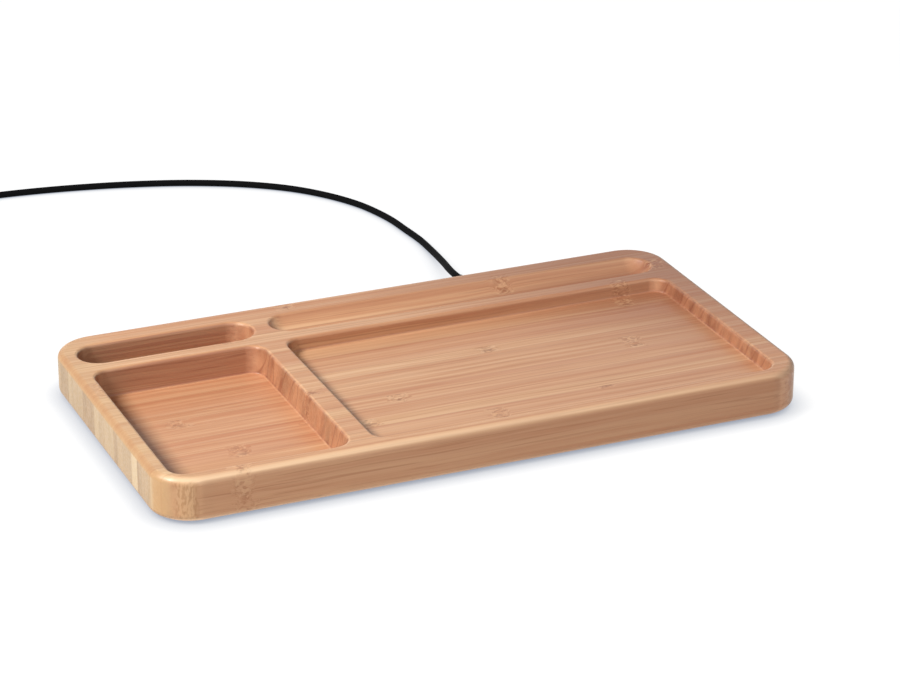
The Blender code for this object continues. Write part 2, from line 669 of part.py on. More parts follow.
def winding_path():
    """From under the board to the middle, up through the stack, out in a flat spiral, over to the board."""
    turn = np.arange(WINDING_TURNS * WINDING_LOOP_POINTS + 1) / WINDING_LOOP_POINTS
    radius = WINDING_INNER + WINDING_PITCH * turn
    height = np.full_like(turn, WINDING_Z)
    spiral = np.stack([radius * np.cos(tau * turn), radius * np.sin(tau * turn), height], axis=1)
    below_shares = ((0.7, 1.0), (0.6, 0.7), (0.3, 0.3))
    bore_shares = ((0.1, 0.5, 0.02), (0, 0.1, 0.25), (0, 0, 0.55), (0.1, -0.1, 0.8), (0.3, -0.4, 0.97))
    inside_shares = ((0.2, -0.25), (0.5, -0.5), (0.85, -0.42))
    over_shares = ((0.3, 0), (0.6, 0), (0.85, 0.5), (1.0, 1.0))
    reach = BOARD_FRONT + PEG_INSET - MODULE_Y
    rise = WINDING_Z - LEAD_Z
    drop = WINDING_Z - (BOARD_TOP + SEAT_GAP + WIRE_RADIUS)
    lead_in = [(x * WINDING_INNER, y * reach, LEAD_Z) for x, y in below_shares]
    lead_in += [(x * LEAD_BORE, y * LEAD_BORE, LEAD_Z + up * rise) for x, y, up in bore_shares]
    lead_in += [(x * WINDING_INNER, y * WINDING_INNER, WINDING_Z) for x, y in inside_shares]
    lead_out = [(WINDING_OUTER, y * reach, WINDING_Z - down * drop) for y, down in over_shares]
    before = smooth_path([*lead_in, spiral[0]], LEAD_STEPS)
    after = smooth_path([spiral[-1], *lead_out], LEAD_STEPS)
    path = np.vstack([before[:-1], spiral, after[1:]])
    return path + np.array([MODULE_X, MODULE_Y, 0])


def make_winding(frame, finish):
    path = winding_path()
    print(f"charging_coil: least gap to itself {1000 * least_gap(path, WIRE_RADIUS):.2f} mm")
    tube("charging_coil", path, WIRE_RADIUS, 1, frame, finish)


def make_circuit_board(frame, finish):
    middle = (PORT_X, (BOARD_FRONT + BOARD_BACK) / 2)
    outline = rounded_outline(BOARD_WIDTH / 2, BOARD_LENGTH / 2, BOARD_CORNER, ROUND_STEPS)
    rings = [level(outline, z, middle) for z in (BOARD_BASE, BOARD_TOP)]
    board = solid("circuit_board", rings, frame, finish)
    low = BOARD_BASE - OVERRUN
    high = BOARD_TOP + OVERRUN
    for number, place in enumerate(board_peg_places(), 1):
        hole = hole_cutter(f"board_hole_{number}", PEG_RADIUS + SEAT_GAP, low, high, place, frame)
        combine(board, hole, "DIFFERENCE")


def chip_mesh(name, size, corner_share, finish):
    """A moulded block whose top edge is bevelled."""
    half_x = size[0] / 2
    half_y = size[1] / 2
    height = size[2]
    bevel = CHIP_BEVEL_SHARE * size[0]
    base = BOARD_TOP + SEAT_GAP
    profile = [(0, base), (0, base + height - min(bevel, height / 2)), (bevel, base + height)]
    rings = plate_rings(half_x, half_y, bevel + corner_share * size[0], profile, 2)
    mesh = surface(name, rings)
    mesh.materials.append(finish)
    return mesh


def make_board_parts(frame, black, tan, grey):
    """What is soldered on, placed by shares of the board's width, from its middle, and of its length."""
    kinds = {
        "controller_chip": (CONTROLLER_SIZE, CHIP_CORNER_SHARE, black),
        "bridge_chip": (BRIDGE_SIZE, CHIP_CORNER_SHARE, black),
        "resonance_capacitor": (RESONANCE_SIZE, CHIP_CORNER_SHARE, tan),
        "input_capacitor": (INPUT_CAPACITOR_SIZE, CHIP_CORNER_SHARE, tan),
        "power_inductor": (INDUCTOR_SIZE, INDUCTOR_CORNER_SHARE, grey),
    }
    place_shares = {
        "controller_chip": [(-0.14, 0.62)],
        "bridge_chip": [(-0.22, 0.38), (0.02, 0.38)],
        "resonance_capacitor": [(-0.27, 0.18), (-0.14, 0.18), (-0.01, 0.18), (0.12, 0.18)],
        "input_capacitor": [(0.20, 0.76), (0.29, 0.76)],
        "power_inductor": [(0.24, 0.52)],
    }
    for kind, (size, corner_share, finish) in kinds.items():
        mesh = chip_mesh(kind, size, corner_share, finish)
        places = place_shares[kind]
        for number, (across, along) in enumerate(places, 1):
            name = f"{kind}_{number}" if len(places) > 1 else kind
            place = (PORT_X + across * BOARD_WIDTH, BOARD_FRONT + along * BOARD_LENGTH, 0)
            put(bpy.data.objects.new(name, mesh), frame, place)


def plug_outline(width, height):
    """The mouth of the small socket and plug: flat on top, its two lower corners cut away."""
    cut = MOUTH_CUT_SHARE * height
    top = height / 2
    half = width / 2
    foot = half - 2 * cut
    return [(-half, top), (-half, cut - top), (-foot, -top), (foot, -top), (half, cut - top), (half, top)]


def sheet_box(outer, inner, closed_end, inner_floor, open_end, place):
    """A sheet-metal box along Y, closed at one end and open at the other."""
    return [
        upright(outer, closed_end, place),
        upright(outer, open_end, place),
        upright(inner, open_end, place),
        upright(inner, inner_floor, place),
    ]


def make_socket(frame, metal, plastic):
    place = (PORT_X, PORT_Z)
    closed_end = SOCKET_MOUTH - SOCKET_LENGTH
    outer = plug_outline(SOCKET_WIDTH, SOCKET_HEIGHT)
    bore_height = SOCKET_HEIGHT - 2 * SHEET
    inner = plug_outline(SOCKET_WIDTH - 2 * SHEET, bore_height)
    rings = sheet_box(outer, inner, closed_end, closed_end + SHEET, SOCKET_MOUTH, place)
    solid("socket_shell", rings, frame, metal)
    base_start = closed_end + SHEET + SEAT_GAP
    base_end = base_start + TONGUE_BASE
    base = rounded_outline(TONGUE_WIDTH / 2, bore_height / 2 - SEAT_GAP, 0, 1)
    blade = rounded_outline(TONGUE_WIDTH / 2, TONGUE_THICKNESS / 2, 0, 1)
    blade_end = SOCKET_MOUTH - TONGUE_SETBACK
    steps = [(base, base_start), (base, base_end), (blade, base_end), (blade, blade_end)]
    solid("socket_tongue", [upright(outline, y, place) for outline, y in steps], frame, plastic)


def grip_rings(place, start, length, width, height, corner):
    """A moulded plug grip along Y: rounded front, drawn-in waist, and a taper to the cord."""
    station_shares = [
        (0.00, 0.92, 0.90),
        (0.03, 1.00, 1.00),
        (0.30, 1.00, 1.00),
        (0.42, 0.95, 0.95),
        (0.58, 0.95, 0.95),
        (0.70, 1.00, 1.00),
        (0.84, 0.96, 0.96),
        (0.96, 0.80, 0.84),
        (1.00, 0.70, 0.76),
    ]
    rings = []
    for along, across, up in station_shares:
        outline = rounded_outline(across * width / 2, up * height / 2, corner, ROUND_STEPS)
        rings.append(upright(outline, start + along * length, place))
    return rings


def relief_rings(place, start, length):
    """A ribbed strain relief along Y that narrows towards the cord."""
    end_radius = CORD_RADIUS + RELIEF_LIP
    rib_shares = ((0, 0), (0.62, 0), (0.70, 1), (0.92, 1))
    rings = []
    for rib in range(RELIEF_RIBS):
        for along_rib, groove in rib_shares:
            along = (rib + along_rib) / RELIEF_RIBS
            radius = RELIEF_RADIUS + (end_radius - RELIEF_RADIUS) * along - RELIEF_GROOVE * groove
            rings.append(upright(circle(radius, RELIEF_SIDES), start + along * length, place))
    rings.append(upright(circle(end_radius, RELIEF_SIDES), start + length, place))
    return rings


def make_plug(lead, metal, rubber):
    place = (PORT_X, PORT_Z)
    outer = plug_outline(PLUG_WIDTH, PLUG_HEIGHT)
    inner = plug_outline(PLUG_WIDTH - 2 * SHEET, PLUG_HEIGHT - 2 * SHEET)
    closed_end = GRIP_FRONT - SEAT_GAP
    mouth = SOCKET_MOUTH - PLUG_INSERTION
    rings = sheet_box(outer, inner, closed_end, closed_end - SHEET, mouth, place)
    solid("plug_shell", rings, lead, metal)
    grip = grip_rings(place, GRIP_FRONT, GRIP_LENGTH, GRIP_WIDTH, GRIP_HEIGHT, GRIP_CORNER)
    solid("plug_grip", grip, lead, rubber)
    solid("plug_relief", relief_rings(place, RELIEF_FRONT, RELIEF_LENGTH), lead, rubber)


def cord_path():
    """The free stretch: straight out of the relief, down to the desk and round to the coil."""
    start = (PORT_X, CORD_START, PORT_Z)
    straight = (PORT_X, CORD_START + CORD_RADIUS, PORT_Z)
    end = (CORD_END_X + SEAT_GAP / 2, COIL_CENTRE[1] + COIL_OUTER, CORD_RADIUS)
    before_end = (end[0] + 2 * CORD_RADIUS, end[1], CORD_RADIUS)
    route = smooth_path([start, straight, *CORD_ROUTE, before_end, end], CORD_STEPS)
    path = even_path(route, CORD_POINTS)
    path[:, 2] = np.maximum(path[:, 2], CORD_RADIUS)
    return path


def coil_path():
    """The spare length: in along the desk, up a layer where the spiral turns, out on top and off."""
    lower = COIL_LOWER_TURNS * COIL_LOOP_POINTS
    climb = COIL_LOOP_POINTS // 2
    upper = round(COIL_UPPER_TURNS * COIL_LOOP_POINTS)
    step = np.arange(lower + climb + upper + 1)
    angle = pi / 2 + tau * step / COIL_LOOP_POINTS
    up = np.clip((step - lower) / climb, 0, 1)
    inward = np.minimum(step, lower) / COIL_LOOP_POINTS
    outward = np.maximum(step - lower - climb, 0) / COIL_LOOP_POINTS
    radius = COIL_OUTER - COIL_PITCH * inward + COIL_PITCH * outward - COIL_CLIMB_DRAW * np.sin(pi * up)
    from_tie = (angle + pi / 2 + pi) % tau - pi
    lift = TIE_LIFT * np.exp(-((from_tie / TIE_RISE_ANGLE) ** 2))
    height = CORD_RADIUS + COIL_PITCH * up * up * (3 - 2 * up) + lift
    x = COIL_CENTRE[0] + radius * np.cos(angle)
    y = COIL_CENTRE[1] + radius * np.sin(angle)
    turns = np.stack([x, y, height], axis=1)
    lead_in = [(x, y[0], CORD_RADIUS) for x in (CORD_END_X - SEAT_GAP / 2, CORD_END_X - COIL_LEAD_IN / 2)]
    along = np.arange(1, COIL_TAIL_POINTS + 1) / COIL_TAIL_POINTS
    down = np.clip(np.interp(along, COIL_TAIL_FALL_SHARES, (0, 1)), 0, 1)
    fall = height[-1] + (USB_Z - height[-1]) * down * down * (3 - 2 * down)
    tail = np.stack([np.full_like(along, USB_X), COIL_CENTRE[1] - COIL_TAIL * along, fall], axis=1)
    return np.vstack([lead_in, turns, tail])


def make_cord(lead, finish):
    run = cord_path()
    coil = coil_path()
    print(f"cord_coil: least gap to itself {1000 * least_gap(coil, CORD_RADIUS):.2f} mm")
    length = sum(np.linalg.norm(np.diff(path, axis=0), axis=1).sum() for path in (run, coil))
    print(f"cord: {1000 * length:.0f} mm long")
    tube("cord_run", run, CORD_RADIUS, 2, lead, finish)
    tube("cord_coil", coil, CORD_RADIUS, 1, lead, finish)


def make_tie(lead, finish):
    """A strap round the whole bundle, on the side of the coil that faces the tray."""
    near = COIL_CENTRE[1] - COIL_OUTER - CORD_RADIUS - TIE_SLACK
    far = COIL_CENTRE[1] - COIL_INNER + CORD_RADIUS + TIE_SLACK
    low = TIE_THICKNESS
    high = TIE_LIFT + COIL_PITCH + 2 * CORD_RADIUS + SEAT_GAP
    middle = ((near + far) / 2, (low + high) / 2)
    loops = []
    for grow in (TIE_THICKNESS, 0):
        half_y = (far - near) / 2 + grow
        half_z = (high - low) / 2 + grow
        outline = rounded_outline(half_y, half_z, TIE_CORNER + grow, ROUND_STEPS)
        loops.append([(y + middle[0], z + middle[1]) for y, z in outline])
    outer, inner = loops
    left = COIL_CENTRE[0] - TIE_WIDTH / 2
    right = COIL_CENTRE[0] + TIE_WIDTH / 2
    order = ((outer, left), (outer, right), (inner, right), (inner, left))
    rings = [[(x, y, z) for y, z in loop] for loop, x in order]
    solid("cord_tie", rings, lead, finish, closed=True)


def make_usb_plug(lead, metal, rubber, plastic):
    place = (USB_X, USB_Z)
    solid("usb_relief", relief_rings(place, USB_RELIEF_FRONT, USB_RELIEF_LENGTH), lead, rubber)
    grip_sizes = (USB_GRIP_LENGTH, USB_GRIP_WIDTH, USB_GRIP_HEIGHT, USB_GRIP_CORNER)
    solid("usb_grip", grip_rings(place, USB_GRIP_FRONT, *grip_sizes), lead, rubber)
    outer = rounded_outline(USB_SHELL_WIDTH / 2, USB_SHELL_HEIGHT / 2, USB_SHELL_CORNER, 2)
    inner_x = USB_SHELL_WIDTH / 2 - SHEET
    inner_z = USB_SHELL_HEIGHT / 2 - SHEET
    inner = rounded_outline(inner_x, inner_z, USB_SHELL_CORNER - SHEET, 2)
    mouth = USB_SHELL_BACK - USB_SHELL_LENGTH
    rings = sheet_box(outer, inner, USB_SHELL_BACK, USB_SHELL_BACK - SHEET, mouth, place)
    solid("usb_shell", rings, lead, metal)
    tongue = rounded_outline(inner_x - SEAT_GAP, USB_TONGUE_THICKNESS / 2, 0, 1)
    tongue_z = USB_Z + inner_z - SEAT_GAP - USB_TONGUE_THICKNESS / 2
    ends = (USB_SHELL_BACK - SHEET - SEAT_GAP, mouth + USB_TONGUE_SETBACK)
    solid("usb_tongue", [upright(tongue, y, (USB_X, tongue_z)) for y in ends], lead, plastic)


def main():
    clear_scene()
    frame = empty("tray_frame", (0, 0, 0))
    lead = empty("lead_slide", (PORT_X, SOCKET_MOUTH, PORT_Z))
    bamboo = material("bamboo", "#D3A070", 0.45)
    rubber = material("black_rubber", "#161616", 0.7)
    cord_pvc = material("cord_pvc", "#141414", 0.45)
    cover_plastic = material("cover_plastic", "#26262A", 0.55)
    steel = material("screw_steel", "#B4B6B8", 0.35, 1.0)
    nickel = material("nickel_plate", "#C2C3C0", 0.25, 1.0)
    copper = material("litz_copper", "#B5673A", 0.4, 1.0)
    foam = material("grey_foam", "#6E7073", 0.9)
    ferrite = material("ferrite", "#3A3B3E", 0.5)
    white_plastic = material("white_plastic", "#DDDDD8", 0.5)
    board_green = material("board_green", "#1F5B38", 0.4)
    chip_black = material("chip_black", "#1C1D1F", 0.5)
    ceramic_tan = material("ceramic_tan", "#B99B72", 0.5)
    core_grey = material("core_grey", "#4A4B4D", 0.6)
    make_tray_body(frame, bamboo)
    make_feet(frame, rubber)
    make_bottom_cover(frame, cover_plastic)
    make_screws(frame, steel)
    make_winding_stack(frame, foam, ferrite, white_plastic)
    make_winding(frame, copper)
    make_circuit_board(frame, board_green)
    make_board_parts(frame, chip_black, ceramic_tan, core_grey)
    make_socket(frame, nickel, chip_black)
    make_plug(lead, nickel, rubber)
    make_cord(lead, cord_pvc)
    make_tie(lead, rubber)
    make_usb_plug(lead, nickel, rubber, white_plastic)


main()
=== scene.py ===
"""Looks of the bamboo desk tray that charges through its large pocket, and of its black lead.

Metres, +Z up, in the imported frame: the origin is on the desk under the middle of the tray.
New pieces are grids of points worked out with numpy; their places are in their meshes.
"""

import json
from math import cos, pi, radians, sin, tau

import bmesh
import bpy
import numpy as np
from mathutils import Matrix, Vector


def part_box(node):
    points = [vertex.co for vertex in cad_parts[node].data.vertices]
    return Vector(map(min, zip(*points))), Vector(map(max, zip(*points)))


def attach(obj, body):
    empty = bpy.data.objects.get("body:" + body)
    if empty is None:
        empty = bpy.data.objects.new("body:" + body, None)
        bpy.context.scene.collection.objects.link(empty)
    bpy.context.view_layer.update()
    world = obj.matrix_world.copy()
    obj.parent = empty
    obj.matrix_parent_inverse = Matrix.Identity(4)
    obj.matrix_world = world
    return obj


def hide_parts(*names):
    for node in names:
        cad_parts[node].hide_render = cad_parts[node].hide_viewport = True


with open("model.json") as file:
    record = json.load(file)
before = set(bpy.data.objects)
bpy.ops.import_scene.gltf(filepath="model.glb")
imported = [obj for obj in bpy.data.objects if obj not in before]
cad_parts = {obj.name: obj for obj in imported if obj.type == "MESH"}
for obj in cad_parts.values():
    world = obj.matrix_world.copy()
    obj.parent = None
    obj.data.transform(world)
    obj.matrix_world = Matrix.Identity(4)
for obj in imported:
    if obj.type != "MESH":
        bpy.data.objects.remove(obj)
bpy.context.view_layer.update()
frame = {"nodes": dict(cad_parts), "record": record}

# Camera, as the view stands to the tray: angles in degrees, the rest in metres, the lens in millimetres
CAMERA_AZIMUTH = -23.202
CAMERA_ELEVATION = 23.582
CAMERA_ROLL = 0.054
CAMERA_DISTANCE = 1.3408
CAMERA_TARGET = (0.02973, 0.04380, 0.0010)
CAMERA_LENS = 128.67
SENSOR_WIDTH = 36.0
NEAREST_SEEN = 0.01

# Tray: its pockets' margins and depths, and the roundness of its edges
TRAY_CORNER = 0.017
TRAY_EDGE = 0.003
SIDE_MARGIN = 0.007
RIGHT_MARGIN = 0.011
FRONT_MARGIN = 0.0065
BACK_MARGIN = 0.0115
ROW_DIVIDER = 0.0075
ROW_WIDTH = 0.018
SLOT_DIVIDER = 0.0075
GROOVE_END_MARGIN = 0.009
WELL_LENGTH = 0.071
WELL_DIVIDER = 0.010
WELL_DEPTH = 0.012
CHARGE_DEPTH = 0.006
SLOT_DEPTH = 0.013
GROOVE_DEPTH = 0.005
POCKET_CORNER = 0.007
POCKET_FILLET = 0.001
RIM_ROUND = 0.0014
SEAT_GAP = 0.0003
OVERRUN = 0.004
CORNER_STEPS = 24
EDGE_STEPS = 10
GROOVE_START_ANGLE = 0.06

# How many sides each round piece or bore is drawn with
CAVITY_SIDES = 96
FOOT_SIDES = 64
RELIEF_SIDES = 48
COUNTERSINK_SIDES = 48
POST_SIDES = 32
SCREW_SIDES = 32
PILOT_SIDES = 24
CORD_SIDES = 20
WIRE_SIDES = 12

# Underside: the cover's recess, its screws, and the cavities over it
COVER_THICKNESS = 0.002
COVER_CORNER = 0.006
COVER_EDGE = 0.0004
COIL_POCKET_CLEAR = 0.002
BOARD_POCKET_CLEAR = 0.002
BOARD_POCKET_CORNER = 0.003
BOARD_POCKET_OVERLAP = 0.014
BOARD_BACK_CLEAR = 0.0005
BOARD_ROOM = 0.0011
NOTCH_CLEAR = 0.0007
NOTCH_EASE = 0.0005
GRIP_CORNER = 0.0022
PILOT_ROOM = 0.0003
POST_RADIUS = 0.0018
PEG_RADIUS = 0.0009
PEG_INSET = 0.0035
PEG_HEIGHT = 0.0007
CARRIER_POST_SHARE = 0.8
WELD_OVERLAP = 0.0005
SCREWS = [f"cover_screw_{number}" for number in range(1, 5)]
SCREW_HEAD_RADIUS = 0.0025
SCREW_SHANK_RADIUS = 0.0011
SCREW_HEAD_DEPTH = 0.0014
SCREW_LENGTH = 0.007
SCREW_TIP = 0.0016
SCREW_TIP_RADIUS = 0.0003
SCREW_SHOULDER_SHARES = (0.9, 0.8)
SCREW_RIM_INSETS = (0.0001, 0, 0.00005)
SCREW_RIM_DEPTHS = (0, 0.00008, 0.0002)
THREAD_PITCH = 0.0009
THREAD_DEPTH = 0.00025
THREAD_STEEPNESS = 5
THREAD_START_SHARE = 1.2
CROSS_REACH = 0.0014
CROSS_HALF_WIDTH = 0.00035
CROSS_DEPTH = 0.0011
CROSS_TAPER = (1.25, 1.0, 0.35)
FEET = [f"foot_{end}_{side}" for end in ("front", "back") for side in ("left", "right")]
FOOT_EDGE = 0.0005
FOOT_DISH = 0.00035
FOOT_RIM = 0.0011
FOOT_CENTRE = 0.0004

# Charging winding: one stranded wire, with a foam pad over it
PAD_MARGIN = 0.001
WIRE_RADIUS = 0.0005
WIRE_GAP = 0.0005
WINDING_INNER = 0.010
WINDING_TURNS = 8
WINDING_LOOP_POINTS = 60
LEAD_BORE = 0.0025
LEAD_STEPS = 6

# Lead: the cord, the coil of its spare length, and its two plugs
CORD_RADIUS = 0.0015
CORD_SPACING = 0.0013
COIL_CENTRE = (-0.137, 0.262)
COIL_OUTER = 0.0224
COIL_GAP = 0.0005
COIL_LOWER_TURNS = 3
COIL_UPPER_TURNS = 2.75
COIL_LOOP_POINTS = 24
COIL_CLIMB_DRAW = 0.0012
COIL_LEAD_IN = 0.009
COIL_TAIL = 0.020
COIL_TAIL_POINTS = 8
COIL_TAIL_FALL_SHARES = (0.55, 0.86)
TIE_THICKNESS = 0.0008
TIE_CORNER = 0.0015
TIE_RISE_ANGLE = 0.5
RELIEF_LIP = 0.0004
RELIEF_GROOVE = 0.0003
RELIEF_RIBS = 5
RELIEF_RADIUS = 0.0026
RELIEF_STEPS = 16
RELIEF_CUT = (0.58, 0.68, 0.92, 1.0)
USB_GRIP_CORNER = 0.0026
USB_SHELL_CORNER = 0.0005
USB_WINDOW = 0.0022
USB_WINDOW_ASIDE = 0.0026
USB_WINDOW_IN = 0.0062
CONTACT_SPACING = 0.0023
CONTACT_LOW = (-0.0005, 0.0005, -0.00012)
CONTACT_HIGH = (0.0005, 0.0075, 0.0001)
SHEET = 0.0003
BLOCK_EDGE_SHARE = 0.05

# Plug grips: places along one, and how broad and how high it is there, as shares of its box, then the
# number of rings, and how many of them soften the steps between those places
GRIP_STATIONS = (0.00, 0.03, 0.06, 0.30, 0.42, 0.58, 0.70, 0.84, 0.93, 0.98, 1.00)
GRIP_BREADTHS = (0.92, 0.985, 1.0, 1.0, 0.95, 0.95, 1.0, 0.96, 0.86, 0.76, 0.70)
GRIP_HEIGHTS = (0.90, 0.98, 1.0, 1.0, 0.95, 0.95, 1.0, 0.96, 0.88, 0.80, 0.76)
GRIP_RINGS = 121
GRIP_SOFTNESS = 6

# The cord's length, and its way from the tray to the coil, as the view shows it
CORD_LENGTH = 1.0
CORD_ROUTE = [
    (0.0550, 0.0970, 0.0077),
    (0.0562, 0.1060, 0.0066),
    (0.0586, 0.1175, 0.0048),
    (0.0606, 0.1290, 0.0032),
    (0.0619, 0.1400, 0.0022),
    (0.0626, 0.1550, 0.0016),
    (0.0614, 0.1702, 0.0015),
    (0.0604, 0.1811, 0.0015),
    (0.0587, 0.1903, 0.0015),
    (0.0540, 0.2060, 0.0015),
    (0.0455, 0.2220, 0.0015),
    (0.0325, 0.2380, 0.0015),
    (0.0145, 0.2520, 0.0015),
    (-0.0085, 0.2640, 0.0015),
    (-0.0345, 0.2730, 0.0015),
    (-0.0620, 0.2794, 0.0015),
    (-0.0880, 0.2831, 0.0015),
    (-0.1080, 0.2842, 0.0015),
]

# Bamboo, in millimetres: where each strip starts across the tray, its tone and its node's place along it
STRIPS = [
    (-72.5, 0.60, -103),
    (-64.8, 0.75, 108),
    (-58.4, 0.50, 10),
    (-46.1, 0.35, 59),
    (-43.9, 1.00, -40),
    (-37.5, 0.55, -90),
    (-27.0, 0.60, -21),
    (-19.8, 0.40, -55),
    (-14.8, 0.70, 88),
    (-3.9, 0.60, -104),
    (3.5, 0.80, 30),
    (9.8, 0.35, -128),
    (24.8, 0.60, 104),
    (40.2, 0.80, -70),
    (43.9, 0.40, 128),
    (54.5, 0.60, 60),
    (64.0, 0.50, -35),
]

# Each layer of fibres: its grain's size in millimetres, detail, roughness and the levels it runs between
FIBRES = {
    "broad": ((210, 4.2, 8.0), 2.0, 0.5, 0.34, 0.66),
    "fine": ((150, 1.5, 1.4), 4.0, 0.6, 0.36, 0.66),
    "vessels": ((70, 0.8, 0.8), 2.0, 0.5, 0.54, 0.70),
}

# Noise where the fibres curl or are cut across: whether it wanders as they do, its size in millimetres,
# how far it leans, its detail and its distortion
WALL_LEAN = radians(26)
CUT_GRAIN = {
    "curl": (False, (3.6, 2.3, 2.3), 0, 1.5, 2.0),
    "rows": (False, (40, 2.2, 14), 0, 3.0, 0),
    "dots": (True, (0.9, 0.9, 2.4), 0, 1.0, 0),
    "bands": (True, (60, 5.5, 20), WALL_LEAN, 4.0, 0),
    "splits": (True, (60, 8.5, 60), WALL_LEAN, 1.0, 0),
}

# Slow bends, in millimetres: their size, and how far they carry the fibres, the cut grain, and the fibres
# once more at a node
BEND_SIZE = (90, 25, 25)
FIBRE_BEND = (0, 3.0, 3.0)
CUT_BEND = (4.0, 4.0, 0)
NODE_BEND = (0, 2.2, 2.2)

# How far the grain is slid over the tray's width, so that each strip has its own, how deep the waves in a
# node's front are, and how many there are to a millimetre, and how far into its strip the node's eye lies
GRAIN_SLIDE = 7300.0
NODE_WAVE = 9.0
NODE_WAVES = 0.24
EYE_PLACE = 2.6

# How much a place further back counts against one further right in the painted shade of the back right
# corner, and how far the curls lie below the fibres and the cutter's lumps above them
CORNER_SLANT = 1.2
CURL_RELIEF = -1.2
LUMP_RELIEF = 9.0

# Where each feature of the wood starts and where it is full, and what that is measured on: millimetres into
# a strip, from something or on the tray, the level of a noise, or how far a face looks one way
FADES = {
    "glue": ("into", 0.8, 0.25),
    "pale_edge": ("into", 3.0, 0.4),
    "eye_width": ("from_eye", 1.7, 0.2),
    "eye_length": ("from_node", 3.2, 0.3),
    "node_band": ("from_node", 5.5, 1.0),
    "curl_dark": ("curl", 0.48, 0.64),
    "curl_pale": ("curl", 0.52, 0.38),
    "rowed": ("rows", 0.34, 0.66),
    "dotted": ("dots", 0.42, 0.64),
    "banded": ("bands", 0.36, 0.66),
    "split": ("from_split", 0.032, 0.004),
    "inside": ("from_middle", 133.0, 128.0),
    "outer_end": ("from_middle", 128.0, 133.0),
    "behind": ("y", -66.0, -60.0),
    "outer_front": ("y", -60.0, -66.0),
    "outer_left": ("x", -117.0, -119.0),
    # Painted shade in the back right corner
    "back_corner_shade": ("to_corner", 50.0, 190.0),
    # Painted shadow on the floors beside the pockets' left walls
    "beside_rim": ("from_left_rim", 14.0, 0.0),
    "beside_divider": ("from_divider", 5.0, 0.0),
    # Painted shade on the deep pockets' floors
    "deep_floor": ("z", 10.5, 7.0),
    "low_down": ("z", 14.4, 13.7),
    "pocket_wall": ("to_back", -0.4, -0.9),
    "left_corner": ("to_right", -0.10, -0.22),
    "upright": ("sideways", 0.5, 0.95),
    "aslant": ("to_end", 0.76, 0.58),
    "square": ("to_end", 0.58, 0.76),
    "cut_outside": ("to_end", 0.95, 0.99),
    "cut_inside": ("to_end", 0.45, 0.85),
}

# What changes evenly over the wood: what it is measured on, two places there, and its strength at each
DRIFTS = {
    "calm": ("to_end", 0, 1, 1.0, 0.25),
    "streaks": ("to_front", 0, 1, 0.46, 0.62),
    "open_vessels": ("to_front", 0, 1, 0.28, 0.40),
    "level": ("to_front", 0, 1, 0.62, 0.07),
    # Painted shade in the sloping fillets
    "sloping": ("to_top", 0, 1, 1.8, 0),
    "yellow": ("x", -112.0, -130.0, 0, 0.3),
    # Painted shade as the light falls off towards the right end, in a redder tone
    "reddening_and_falloff_shade": ("x", -120.0, 130.0, 0, 0.3),
    # Painted shade on the deep pockets' back walls, and painted light on the back walls further right
    "back_wall_shade": ("x", -60.0, -45.0, 0.34, 0.10),
    "back_wall_light": ("x", 10.0, 120.0, 0, 0.26),
    # Painted highlight along the front round, stronger towards the left
    "front_highlight": ("x", -130.0, 130.0, 1.5, 0.7),
    "end_tone": ("tone", 0.30, 1.0, 0, 1),
    # Painted shade towards the back of the planed ends, and painted light at the right end
    "end_back_shade": ("y", -60.0, 70.0, 0, 0.32),
    "end_right_light": ("x", -100.0, 120.0, 0, 0.65),
}

# Tints laid over the wood in this order, each by its shares multiplied together
LOW_INSIDE = ("to_top", "low_down", "inside", "behind")
WOOD_STAINS = [
    # Streaks and vessels are stronger on the front, where the strips' broad faces show
    ("#B67752", "fine", "calm", "streaks"),
    ("#E8C096", "pale_edge", 0.25),
    ("#8F5735", "vessels", "calm", "open_vessels"),
    # The plank is yellower at its left end; it reddens and darkens towards its right, partly its own tone and
    # partly painted shade where the light falls off, and its back right corner is darkened with painted shade
    ("#BFA87C", "yellow"),
    ("#BC785C", "reddening_and_falloff_shade"),
    ("#844C32", "back_corner_shade", "level"),
    # Painted shade on the deep pockets' back walls, in a greyish brown, and painted light on the back walls
    # further right, in the charging pocket; the deep floors are painted darker and redder as shade
    ("#8C5C56", "pocket_wall", "behind", "back_wall_shade"),
    ("#E3BC97", "pocket_wall", "behind", "back_wall_light"),
    ("#B4623F", "deep_floor", "to_top", 0.25),
    # The sanded rounds: darker along the ends, where the vessels are cut open, and a painted highlight
    # along the front round, stronger towards the left
    ("#9A6C42", "to_end", "to_top", "outer_end", 1.3),
    ("#EECBA4", "to_front", "to_top", "outer_front", "front_highlight"),
    # Painted shade in the sloping fillets, and a painted shadow on the floors at the foot of the pockets'
    # left walls
    ("#8C4F37", "sloping", *LOW_INSIDE),
    ("#8A3A1E", "beside_rim", *LOW_INSIDE, 0.55),
    ("#8A3A1E", "beside_divider", *LOW_INSIDE, 0.7),
]

# Upright rows of bundle ends on the planed ends, and the strips' tones, stronger there than on the top;
# then painted shade towards the back of the ends, and the right end, which the key lamp misses, painted
# lighter
PLANED_STAINS = [
    ("#997A58", "rowed"),
    ("#C3A983", "end_tone"),
    ("#8C7351", "end_back_shade"),
    ("#D9B88E", "end_right_light"),
]

# Nodes and glue lines, over faces along and across the fibres alike
NODE_STAINS = [
    ("#E6BA8E", "curl_pale", "node_band", 0.32),
    ("#935A3A", "curl_dark", "node_band", 0.42),
    ("#7E4529", "eye_width", "eye_length", 0.45),
    ("#9C6440", "glue", "calm", 0.42),
]

